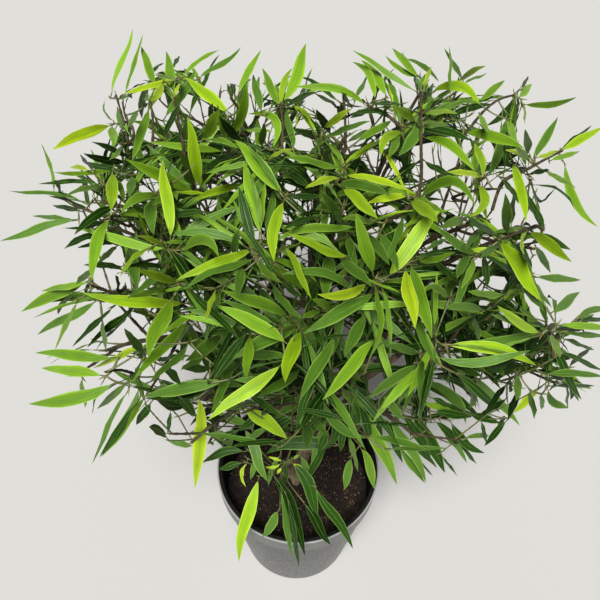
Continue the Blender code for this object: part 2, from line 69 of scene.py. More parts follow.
# Pot: a tapering body under a straight collar
POT_HEIGHT = 0.165
RIM_RADIUS = 0.085
BASE_RADIUS = 0.061
WALL = 0.0012
COLLAR_HEIGHT = 0.021
COLLAR_STEP = 0.0026
STEP_HEIGHT = 0.003
RIM_BEAD = 0.0009
RIM_BEAD_DEPTH = 0.0036
BASE_CORNER = 0.004
POT_SEGMENTS = 160

# Filling: its top lies below the rim and rises a little to the trunk
FILL_TOP = 0.147
FILL_DIP = 0.030
FILL_MOUND_RADIUS = 0.014

# Trunk: from the filling to the leader's stem
TRUNK_TOP = 0.362
TRUNK_LEAN = Vector((0.010, 0.040))
TRUNK_LEAN_CURVE = 1.3
TRUNK_SWAY = Vector((0.008, -0.006))
TRUNK_FOOT_RADIUS = 0.0078
TRUNK_TOP_RADIUS = 0.0034
ROOT_FLARE = 0.0058
ROOT_FLARE_HEIGHT = 0.09
ROOT_FLARE_MIDDLE = 0.036
TRUNK_RINGS = 11
TRUNK_SIDES = 10

# Crown: a rounded box that the leaf tips fill, open below at the front
CROWN_CENTRE = Vector((0.006, 0.045, 0.428))
CROWN_REACH = Vector((0.238, 0.206, 0.140))
CROWN_REACH_DOWN = 0.175
CROWN_SQUARENESS = 2.8
TWIG_SHARE = 0.84
STRAY_TIP_SHARE = 1.07
FRONT_CLEAR_HEIGHT = 0.204
FRONT_CLEAR_SLOPE = 1.72

# Tiers of masses: name, how many, first bearing in degrees, ring and level as shares of the reach
TIERS = (
    ("low", 5, -54.0, 0.54, -0.46),
    ("wide", 7, -90.0, 0.68, 0.03),
    ("top", 5, -90.0, 0.58, 0.55),
)
LEADER_LEVEL = 0.60
CORE_SHARE = 0.1
CELL_MARGIN = 0.0006

# Low shoot: a small spray on a low bough, whose leaves hang over the rim at the front
FRONT_BOUGH_START = 0.11
FRONT_BOUGH_TIP = Vector((-0.012, -0.024, 0.208))
FRONT_BOUGH_RADII = (0.0030, 0.0022)
FRONT_SHOOT_TIP = Vector((-0.019, -0.052, 0.238))
FRONT_SHOOT_REACH = 0.105
FRONT_SHOOT_TWIGS = 3
FRONT_SHOOT_TWIG_LENGTHS = (0.024, 0.018)

# Boughs: where they leave their carrier, how thick they are and how far they run
BOUGH_SIDES = 6
BOUGH_RINGS = 5
BOUGH_STARTS = {"low": (0.20, 0.34), "wide": (0.40, 0.68)}
TOP_FORK = 0.56
BOUGH_RADII = {"low": (0.0040, 0.0025), "wide": (0.0044, 0.0026), "top": (0.0030, 0.0022)}
BOUGH_HEARTS = {"low": 0.45, "wide": 0.75, "top": 0.95}
BOUGH_END_SHARES = {"low": 0.62, "wide": 0.55, "top": 0.50}
BOUGH_SAG = 0.35

# Stems and twigs of the solids
TWIG_SIDES = 3
STEM_RINGS = 5
STEM_SHARE = 0.78
STEM_BEND = 0.45
STEM_STRAY = 0.004
STEM_TIP_RADIUS = 0.0013
TWIG_RINGS = 3
TWIG_RADII = (0.0019, 0.0011)
TWIG_COUNT = 5
TWIG_ZONE = (0.10, 0.82)
TWIG_LENGTHS = (0.078, 0.050)
TWIG_SPREAD = (64.0, 38.0)
TWIG_RISE = 0.15
TWIG_TRIES = 8
TWIG_TURN_STEP = 20.0
TWIG_SHORTER_STEP = 0.08
FULL_TURN = 360.0
GOLDEN_ANGLE = 137.5
LIMB_CLEARANCE = 0.0008
POT_TESTS_PER_LENGTH = 4
LEAF_HANG = 0.34
LEAF_HANG_FALL = 0.36
SEED = 4127

# Bark on the trunk and boughs
BARK_TRUNK_RINGS = 110
BARK_TRUNK_SIDES = 28
TRUNK_RING_CROWDING = 1.4
BARK_BOUGH_RINGS = 44
BARK_BOUGH_SIDES = 14
BARK_RELIEF = 0.0005
BARK_FULL_RADIUS = 0.005
BARK_FINE = 420.0
BARK_COARSE = 130.0
FLUTES = 5
FLUTE_DEPTH = 0.16
FLUTE_HEIGHT = 0.16
SCAR_SPACING = 0.0115
SCAR_HEIGHT = 0.00028
SCAR_SHARPNESS = 14
FORK_COLLAR = 0.45
FORK_COLLAR_LENGTH = 0.007

# Finer shoots that the scene adds on every stem and twig, and the share of each that is bare
WOOD_SIDES = 6
WOOD_STEP = 0.0030
LEAST_RINGS = 3
STEM_END_RADIUS = 0.0008
TWIG_WOOD_RADII = (0.0012, 0.0006)
SHOOT_WOOD_RADII = (0.0007, 0.00045)
STEM_BARE = 0.35
TWIG_BARE = 0.22
SHOOT_BARE = 0.15
NODE_SWELL = 0.45
NODE_SHARPNESS = 30.0
BUD_RISE = 0.3
BUD_LENGTH = 0.0055
BUD_RADIUS = 0.0006
BUD_SHARES = (0.0, 0.25, 0.6, 1.0)
BUD_WIDTHS = (0.7, 1.0, 0.65, 0.05)
SHOOT_SEED = 100
FINE_RINGS = 9
SHOOT_SPACING = 0.015
SHOOT_FIRST = 0.30
SHOOT_LENGTHS = (0.026, 0.044)
SHOOT_SPREAD = (38.0, 66.0)
SHOOT_RISES = (0.05, 0.65)
SHOOT_SHARE = 0.90
SHOOT_TRIES = 6
SHOOT_ROOT_RINGS = 2

# Leaves: long, narrow and pointed, folded along the middle, arched and a little wavy
LEAF_STATIONS = (0.0, 0.05, 0.13, 0.24, 0.37, 0.50, 0.63, 0.75, 0.86, 0.94, 1.0)
LEAF_ACROSS = (-1.0, -0.5, 0.0, 0.5, 1.0)
LEAF_BASE_POWER = 0.90
LEAF_TIP_POWER = 1.04
LOW_LEAF_LENGTHS = (0.060, 0.088)
LOW_LEAF_WIDTHS = (0.0088, 0.0120)
HIGH_LEAF_LENGTHS = (0.042, 0.064)
HIGH_LEAF_WIDTHS = (0.0056, 0.0082)
LEAF_LOW = 0.30
LEAF_HIGH = 0.50
LEAF_FOLD = (8.0, 30.0)
LEAF_DROOP = (12.0, 62.0)
LEAF_SWEEP = 10.0
LEAF_TWIST = 13.0
LEAF_WAVE = 0.0005
LEAF_UNEVEN = 0.09
LEAF_UNEVEN_WAVES = 1.7
LEAF_WAVES = 2.3
LEAF_SPACINGS = (0.0061, 0.0084)
LEAF_FIRST = 0.010
LEAF_SPREAD = (60.0, 28.0)
LEAF_OPENING = 14.0
LEAF_TURN = (26.0, 150.0)
LEAF_ROLL = 52.0
LEAF_LIGHTWARD = 0.22
LEAF_FACE_LEAN = 0.45
LEAF_HANG_SIZES = (0.3, 1.3)
LOW_LEAF_HANG = 0.40
LEAF_TRIES = 26
LEAF_SMALLER = 0.10
LEAF_NARROWER = 0.50
LEAF_SEED = 1000
YOUNG_LIFT = 0.45
CURL_CHANCE = 0.03
CURL_DROOP = 2.0
EDGE_CURL = 0.35
TIP_LEAVES = 3
TIP_PLACE = 0.99
TIP_SPACING = 0.0032
YOUNG_SHRINK = 0.20
STALK_LENGTHS = (0.005, 0.010)
STALK_RADIUS = 0.00050
STALK_TAPER = (1.4, 1.0, 0.9, 0.6)
STALK_SIDES = 4
RIB_WIDTH = 0.00080
RIB_LIFT = 0.00016
RIB_TAPER = 0.75
CROWD_CELL = 0.05
PROXY_STATIONS = (1, 3, 5, 7, 9)
STRAY_CHANCE = 0.12
LEAFY_SHIFT = Vector((0.018, 0.0, 0.0))
LEAFY_REACH = Vector((0.91, 0.97, 1.0))

# Tints of the leaves, from old and shaded to new and lit: by how new the growth is and, partly as painted
# shade and light, how high and far out in the crown it is; the edge colour is partly a painted highlight.
# Piece, blade and edge colours, the share of newness and light that it ends at, shine
TINTS = (
    ("leaves_deep", (0.0050, 0.0210, 0.0010), (0.040, 0.098, 0.011), 0.16, 0.05),
    ("leaves_dark", (0.0110, 0.0460, 0.0009), (0.122, 0.232, 0.044), 0.34, 0.13),
    ("leaves_green", (0.062, 0.160, 0.009), (0.205, 0.355, 0.080), 0.50, 0.32),
    ("leaves_mid", (0.096, 0.222, 0.004), (0.245, 0.400, 0.085), 0.64, 0.30),
    ("leaves_light", (0.142, 0.312, 0.009), (0.270, 0.430, 0.080), 0.78, 0.26),
    ("leaves_fresh", (0.212, 0.388, 0.003), (0.320, 0.470, 0.080), 0.90, 0.26),
    ("leaves_lime", (0.300, 0.475, 0.006), (0.400, 0.520, 0.090), 9.99, 0.26),
)
# How the tints' newness and light rise with height and with reach out from the crown's centre, partly as
# painted light and shade
NEW_AND_LIT_BY_HEIGHT = 0.55
NEW_AND_LIT_BY_REACH = 0.45
TINT_NEWNESS_AND_LIGHT = 0.62
TINT_CURVE = 1.6
TINT_YOUNG = 0.30
TINT_BASE = 0.14
TINT_SPRAY_STRAY = 0.19
TINT_LEAF_STRAY = 0.25
LIGHT_RIB_FROM = 4
# Undersides: paler, as the leaf's own paler back and partly as painted light through the leaf
UNDERSIDE = (0.080, 0.150, 0.024)
# Ribs of the lighter tints are lighter too, so they follow the tints' painted light in part
RIB_COLOURS = ((0.080, 0.165, 0.030), (0.125, 0.235, 0.050))
NEW_AND_LIT_RIB_COLOURS = ((0.160, 0.280, 0.020), (0.220, 0.340, 0.032))
STALK_COLOURS = ((0.052, 0.080, 0.014), (0.110, 0.105, 0.028))
BUD_COLOURS = ((0.130, 0.160, 0.030), (0.150, 0.120, 0.035))
TWIG_COLOURS = ((0.046, 0.034, 0.013), (0.018, 0.012, 0.005), (0.090, 0.072, 0.032))
BARK_COLOURS = ((0.175, 0.118, 0.078), (0.068, 0.042, 0.026), (0.230, 0.183, 0.134))

# Surface of the blades
LEAF_APART = (23.0, 31.0, 17.0)
STREAK_LENGTHS = 2.6
BLADE_ROUGHNESS = 0.46
UNDERSIDE_DULLER = 0.14
BLADE_DARKER = 0.55
# Sides of each blade lighter and yellower: painted light. Its pale edge: partly a painted highlight
BLADE_LIT_SIDES = (1.55, 1.22, 1.0)
BLADE_LAYERS = (("Side", 0.75), ("Streak", 0.62), ("Vein", 0.12), ("Edge", 0.85))
BLADE_BUMP = (0.50, 0.0003)
UNDERSIDE_PALER = 0.38
VEIN_INPUTS = (("Veins", 34.0), ("Slant", 0.35), ("Margin", 0.80), ("Streaks", 16.0))
VEIN_FROM = 0.55
STREAK_RANGE = (0.38, 0.62)

# Patches of the finishes: how fine, how detailed, how stretched, and the range that is spread from 0 to 1
PATCH_INPUTS = (("Size", 40.0), ("Detail", 3.0), ("Stretch", 1.0), ("From", 0.35), ("To", 0.65))
WEAR_PATCHES = {"Size": 26.0, "Detail": 4.0, "Stretch": 0.35, "From": 0.42, "To": 0.68}
SCUFF_PATCHES = {"Size": 420.0, "Detail": 2.0, "Stretch": 0.3, "From": 0.3, "To": 0.7}
GRAIN_PATCHES = {"Size": 700.0, "Detail": 4.0, "Stretch": 0.25, "From": 0.35, "To": 0.62}
BLOTCH_PATCHES = {"Size": 90.0, "Detail": 3.0, "Stretch": 0.5, "From": 0.48, "To": 0.66}
SPOT_PATCHES = {"Detail": 5.0, "From": 0.35, "To": 0.65}
GRIT_PATCHES = {"Detail": 4.0, "From": 0.2, "To": 0.8}
STALK_PATCHES = {"Size": 130.0, "Detail": 2.0, "From": 0.4, "To": 0.62}
BLADE_PATCHES = {"Size": 30.0, "Detail": 2.0, "From": 0.30, "To": 0.70}

# Roughness and shine of the plain finishes, and the strength and depth of the bumps on them
STALK_ROUGHNESS = 0.45
BARK_SHEEN = (0.78, 0.3)
BLOTCH_STRENGTH = 0.55
BARK_BUMP = (0.7, 0.0004)
CRUMB_SHEEN = (0.92, 0.25)
GRIT_FINER = 3.0
CRUMB_BUMP = (0.8, 0.0006)
SCUFF_SMOOTHER = 0.06
SCUFF_ROUGHER = 0.10
SCUFF_BUMP = (0.10, 0.0001)

# Finishes of the pot's body, collar, rim and lining: name, colour, worn colour, roughness and shine. The pot
# is of one grey: the collar's lighter grey is painted light and the rim's paler grey a painted highlight
POT_FINISHES = (
    ("pot_grey", (0.055, 0.056, 0.052), (0.066, 0.067, 0.062), 0.34, 0.5),
    ("collar_painted_light_grey", (0.100, 0.101, 0.096), (0.118, 0.119, 0.113), 0.36, 0.5),
    ("rim_painted_highlight_grey", (0.205, 0.207, 0.195), (0.240, 0.242, 0.230), 0.36, 0.5),
    ("pot_black", (0.0030, 0.0033, 0.0030), (0.006, 0.006, 0.006), 0.42, 0.2),
)

# Finishes of the filling and its fibres: their two colours, and the size of the filling's patches
MIX_FINISH = ("mix_dark", (0.0035, 0.0021, 0.0014), (0.014, 0.008, 0.005), 260.0)
FIBRE_COLOURS = ((0.10, 0.062, 0.032), (0.17, 0.115, 0.065))

# Loose bits on the filling: piece, seed, how many, their sizes and flatness, and their finish
LOOSE_BITS = (
    ("mix_crumbs", 11, 2600, (0.0010, 0.0038), (0.4, 1.0),
     ("crumb_dark", (0.005, 0.003, 0.002), (0.030, 0.017, 0.010), 120.0)),
    ("mix_bark_bits", 12, 620, (0.0012, 0.0055), (0.15, 0.4),
     ("crumb_bark", (0.040, 0.022, 0.013), (0.130, 0.078, 0.048), 150.0)),
    ("mix_pale_bits", 13, 110, (0.0008, 0.0024), (0.3, 0.8),
     ("crumb_pale", (0.20, 0.165, 0.13), (0.42, 0.37, 0.31), 200.0)),
)
LUMP_NARROWEST = 0.6
CRUMB_SMALLEST = 0.6

# Forms of the pot and the filling
MERGE_DISTANCE = 0.00001
POT_SHARP_ANGLE = 60.0
POT_ROUND = 0.0009
RIM_ROUND = 0.0004
ROUND_STEPS = 3
ROUND_LIMIT = 0.45
BASE_HOLLOW = 0.0012
LIP_WIDTH = 0.0014
LIP_DROP = 0.0004
LINER_LIP = 0.0042
BASE_RING = 0.010
SEAM_GAP = 0.00005
MIX_EDGE_GAP = 0.0006
MIX_RINGS = 70
MIX_SEGMENTS = 180
MIX_FLOOR = 0.012
FILL_CURVE = 1.5
MIX_RELIEF = 0.0018
MIX_GRIT = 0.0010
MIX_COARSE = 90.0
MIX_FINE = 420.0
MIX_EDGE_CLEAR = 0.0022
TRUNK_CLEAR = 0.0165
LUMP_DENT = 0.22
CRUMB_SUNK = 0.10
FIBRE_SEED = 14
FIBRE_COUNT = 24
FIBRE_RINGS = 6
FIBRE_BEND = 0.3
FIBRE_LIFT = 0.0016
FIBRE_STEPS = (0.0015, 0.0040)
FIBRE_RADIUS = 0.00025

# Light and floor
FLOOR_HALF = 12.0
FLOOR_COLOUR = (0.375, 0.371, 0.363)
FLOOR_SHEEN = (0.9, 0.1)
SKY_COLOUR = (1.0, 1.0, 0.99)
SKY_STRENGTH = 0.20
KEY_PLACE = (-0.7, -4.9, 8.2)
KEY_STRENGTH = 6.62
KEY_SOFTNESS = 26.0
KEY_COLOUR = (1.0, 0.99, 0.965)

# Camera of the photograph
CAMERA_PLACE = Vector((-0.002, -0.348, 0.817))
CAMERA_PITCH = 48.3
CAMERA_ROLL = -1.34
CAMERA_LENS = 40.74
SENSOR = 36.0
CAMERA_NEAR = 0.01
PICTURE = 600.0
FOCAL = PICTURE * CAMERA_LENS / SENSOR

# How the leaves that are placed by sight are set in depth
SIGHT_NEAR = 0.20
SIGHT_FAR = 0.95
SIGHT_STEP = 0.004
FOOT_SHARE = 0.86
FOOT_DEPTHS = 16
FOOT_DEPTH_STEP = 0.004
FOOT_DEPTH_COST = 0.30
TIP_SHARE = 0.97
TIP_DEPTHS = 20
TIP_DEPTH_STEP = 0.003
TIP_SHARE_COST = 0.10
SEEN_SEED = 500
SEEN_STALK = 0.005
SEEN_BOW_PLACE = 0.45
SEEN_TILT = 12.0
SEEN_EITHER_WAY = 0.25
SEEN_DEPTHS = (0.016, 0.012, 0.007, 0.004, 0.0, 0.0, 0.0)
SEEN_REST = (0.0, 0.0, 0.0)
SEEN_TRIES = 12
SEEN_STEP = 0.005
SEEN_MOST_TILT = 62.0
SEEN_SLIMNESS = 6.4
SEEN_ARCH = (0.05, 0.15)
SEEN_FOLD = (5.0, 14.0)
SEEN_SWAY = 0.022
LINK_LEAST = 0.003
LINK_SAG = 0.12
LINK_BARE = 0.80
VEIL_START = 0.003
VEIL_END = 0.16

# Edge of the crown in the picture, clockwise in pixels; only leaves that are placed by sight pass it
CROWN_EDGE = (
    (104, 104), (122, 92), (142, 74), (166, 66), (196, 66), (222, 72), (236, 84), (250, 72), (272, 74),
    (292, 72), (308, 80), (330, 84), (346, 84), (362, 72), (392, 60), (424, 66), (446, 72), (470, 74),
    (494, 84), (516, 88), (522, 112), (524, 132), (540, 146), (556, 146), (548, 172), (536, 190),
    (544, 222), (548, 240), (542, 262), (548, 290), (562, 306), (599, 308), (599, 366), (592, 388),
    (580, 404), (545, 412), (516, 414), (490, 446), (487, 456), (468, 466), (446, 474), (436, 470),
    (426, 484), (398, 488), (372, 488), (345, 488), (330, 472), (290, 472), (250, 464), (205, 462),
    (195, 448), (168, 442), (150, 430), (132, 428), (105, 458), (92, 440), (92, 410), (60, 404),
    (28, 404), (36, 380), (32, 350), (56, 348), (38, 334), (22, 312), (42, 288), (78, 290), (84, 266),
    (66, 250), (74, 234), (36, 220), (52, 206), (38, 186), (56, 172), (80, 160), (92, 142), (110, 138),
    (104, 120),
)

# Openings of the crown in the picture, in pixels: middle x and y, half-width and half-height
OPENINGS = (
    (133, 105, 6, 7), (161, 105, 4, 9), (172, 125, 4, 6), (186, 105, 4, 8), (226, 100, 7, 8),
    (208, 108, 6, 6), (251, 90, 3, 11), (249, 112, 3, 10), (266, 117, 6, 5), (269, 132, 3, 7),
    (289, 92, 4, 6), (316, 100, 8, 4), (328, 108, 8, 5), (355, 105, 7, 4), (362, 118, 8, 5),
    (312, 112, 4, 4), (329, 117, 5, 4), (303, 124, 5, 4), (296, 145, 3, 5), (306, 146, 7, 5),
    (333, 134, 6, 5), (356, 139, 7, 6), (345, 150, 4, 4), (372, 155, 6, 5), (291, 188, 5, 4),
    (207, 206, 6, 4), (219, 186, 5, 3), (311, 178, 3, 3), (312, 206, 4, 3),
    (385, 101, 6, 3), (393, 122, 4, 6), (409, 93, 8, 6), (412, 106, 5, 3), (383, 128, 5, 3),
    (438, 92, 5, 4), (462, 92, 4, 7), (492, 108, 7, 7), (470, 119, 8, 5), (432, 148, 7, 5),
    (446, 152, 5, 8), (440, 166, 9, 5), (452, 186, 8, 4), (433, 192, 8, 4), (447, 206, 8, 4),
    (466, 198, 4, 6), (488, 186, 4, 9), (486, 155, 5, 7), (466, 147, 4, 6), (496, 205, 4, 8),
    (515, 208, 3, 10), (531, 210, 4, 12), (519, 130, 3, 8), (536, 170, 9, 8), (414, 186, 4, 4),
    (115, 211, 4, 6), (129, 226, 7, 4), (105, 250, 6, 5), (117, 257, 5, 7),
    (143, 249, 6, 3), (104, 273, 8, 6), (125, 284, 4, 6), (146, 283, 5, 4), (150, 309, 6, 3),
    (138, 325, 9, 10), (165, 352, 5, 4), (176, 362, 5, 5),
    (155, 366, 5, 4), (112, 363, 8, 3), (375, 231, 4, 6), (404, 237, 4, 5), (424, 246, 7, 5),
    (444, 243, 7, 5), (455, 235, 8, 3), (483, 241, 4, 3), (396, 263, 3, 3), (451, 264, 7, 4),
    (497, 283, 8, 5), (527, 290, 4, 7), (531, 300, 5, 5), (453, 284, 3, 4), (480, 303, 7, 3),
    (505, 324, 6, 3), (420, 321, 5, 3), (384, 332, 3, 6), (393, 356, 6, 3), (434, 370, 5, 3),
    (465, 369, 4, 2), (478, 375, 2, 2), (495, 389, 5, 5), (510, 385, 3, 4),
    (529, 387, 6, 5), (88, 312, 22, 10), (76, 330, 12, 15), (100, 326, 14, 18), (124, 326, 21, 20),
    (140, 332, 11, 14), (118, 345, 22, 6), (120, 362, 16, 6), (84, 364, 15, 3), (60, 377, 15, 8),
    (76, 384, 20, 5), (105, 378, 15, 5), (110, 406, 14, 14), (122, 400, 9, 16), (105, 426, 8, 16),
    (156, 410, 13, 13), (175, 413, 8, 8), (190, 372, 13, 7), (164, 373, 6, 6), (150, 376, 8, 8),
    (186, 304, 6, 4), (200, 329, 6, 6), (190, 350, 6, 3), (200, 362, 5, 3), (114, 283, 13, 5),
    (198, 112, 9, 15), (187, 103, 5, 10), (128, 112, 6, 7), (137, 128, 4, 4), (150, 135, 4, 4),
    (165, 117, 5, 5), (158, 97, 6, 5), (113, 113, 4, 10), (214, 84, 7, 8), (233, 113, 5, 4),
    (247, 122, 4, 3), (262, 120, 4, 5), (253, 137, 4, 3), (268, 141, 4, 4), (293, 93, 5, 6),
    (317, 104, 11, 8), (302, 137, 5, 3), (286, 161, 3, 3), (66, 188, 11, 6), (76, 196, 9, 3),
    (94, 202, 7, 6), (116, 202, 5, 4), (66, 212, 11, 4), (82, 212, 8, 4), (80, 221, 8, 2),
    (127, 231, 8, 4), (148, 190, 12, 3), (122, 188, 5, 4), (74, 238, 10, 8),
    (83, 253, 5, 12), (150, 260, 7, 3), (112, 250, 9, 5), (108, 262, 12, 4),
    (218, 190, 6, 3), (208, 207, 6, 4), (222, 178, 8, 3), (297, 204, 3, 5), (286, 215, 3, 6),
    (325, 222, 5, 4), (258, 234, 3, 5), (291, 252, 3, 5), (309, 260, 5, 5), (197, 253, 3, 3),
    (253, 256, 3, 3), (266, 265, 3, 3), (264, 284, 3, 3), (278, 292, 3, 3), (299, 309, 3, 6),
    (336, 287, 4, 3), (346, 279, 4, 4), (348, 324, 5, 5), (396, 341, 4, 3), (398, 361, 8, 3),
    (377, 382, 7, 6), (384, 393, 6, 4), (334, 364, 3, 5), (370, 368, 3, 6), (389, 413, 4, 4),
    (406, 415, 3, 4), (327, 107, 8, 10), (342, 95, 12, 5), (354, 84, 7, 6), (367, 90, 5, 8),
    (362, 123, 12, 4), (380, 117, 9, 4), (342, 124, 6, 4), (365, 157, 5, 5), (378, 167, 7, 7),
    (396, 164, 2, 5), (388, 176, 3, 4), (415, 153, 4, 6), (430, 160, 9, 8), (427, 171, 8, 9),
    (449, 160, 9, 9), (450, 142, 7, 5), (447, 190, 10, 8), (467, 180, 5, 6), (452, 196, 11, 5),
    (463, 205, 5, 7), (472, 205, 3, 6), (487, 185, 7, 8), (491, 207, 4, 14), (499, 187, 4, 6),
    (503, 218, 5, 12), (516, 214, 7, 12), (531, 212, 4, 14), (507, 178, 4, 6), (474, 87, 6, 5),
    (496, 90, 7, 5), (492, 115, 10, 8), (536, 137, 9, 6), (541, 151, 13, 6), (383, 98, 6, 6),
    (408, 100, 8, 5), (404, 74, 8, 8), (445, 78, 5, 6), (456, 72, 5, 6), (465, 232, 6, 5),
    (490, 240, 4, 4), (479, 262, 6, 5), (452, 261, 7, 4), (370, 234, 5, 5),
    (380, 208, 6, 5), (387, 210, 3, 5), (530, 248, 6, 10), (541, 262, 10, 11), (422, 313, 5, 6),
    (483, 287, 7, 5), (500, 281, 6, 4), (535, 312, 5, 5), (542, 288, 7, 8),
    (566, 313, 9, 6), (579, 343, 11, 6), (587, 360, 8, 5), (567, 365, 5, 5), (561, 390, 7, 5),
    (552, 400, 8, 6), (545, 403, 7, 6), (534, 395, 4, 3), (435, 402, 8, 5), (446, 405, 5, 4),
    (433, 370, 5, 3), (461, 393, 3, 3), (480, 403, 4, 4), (493, 397, 5, 5), (495, 414, 5, 4),
    (506, 402, 3, 4), (530, 376, 6, 4), (540, 384, 8, 4), (505, 380, 5, 4), (458, 422, 9, 6),
    (470, 423, 7, 8), (435, 430, 7, 9),
)
SHOOT_COLUMNS = (60, 560)

# Twigs that show plainly, each as pixels from where it leaves the crown to its tip
SEEN_TWIGS = (
    ((126, 130), (121, 112), (116, 95)),
    ((134, 132), (125, 115), (122, 97)),
    ((152, 152), (153, 122), (150, 100)),
    ((182, 140), (178, 118), (174, 96)),
    ((104, 216), (78, 207), (56, 196)),
    ((345, 152), (345, 116), (343, 94)),
    ((328, 162), (319, 146), (313, 134)),
    ((283, 152), (283, 126), (280, 104)),
    ((248, 134), (241, 114), (232, 98)),
    ((374, 128), (370, 110), (366, 99)),
    ((418, 196), (421, 140), (421, 92)),
    ((464, 136), (482, 113), (498, 100), (514, 95)),
    ((503, 182), (526, 170), (544, 160), (562, 151)),
    ((402, 128), (391, 113), (383, 104)),
    ((452, 198), (478, 190), (505, 189)),
    ((128, 226), (110, 218), (100, 222)),
    ((176, 262), (169, 246), (162, 238)),
    ((118, 293), (98, 288), (86, 283)),
    ((134, 374), (120, 370), (106, 372)),
    ((474, 316), (486, 308), (498, 303)),
    ((552, 336), (546, 324), (551, 315)),
    ((442, 352), (433, 342), (437, 335)),
    ((536, 226), (514, 234), (500, 240)),
    ((204, 400), (210, 388), (206, 378)),
)
SEEN_TWIG_SHARE = 0.90
SEEN_TWIG_STEPS = 4
SIGHT_STATIONS = (1, 2, 3, 4, 5, 6, 7, 8, 10)

# Numbers of the tints
DEEP, DARK, GREEN, MID, LIGHT, FRESH, LIME = range(7)
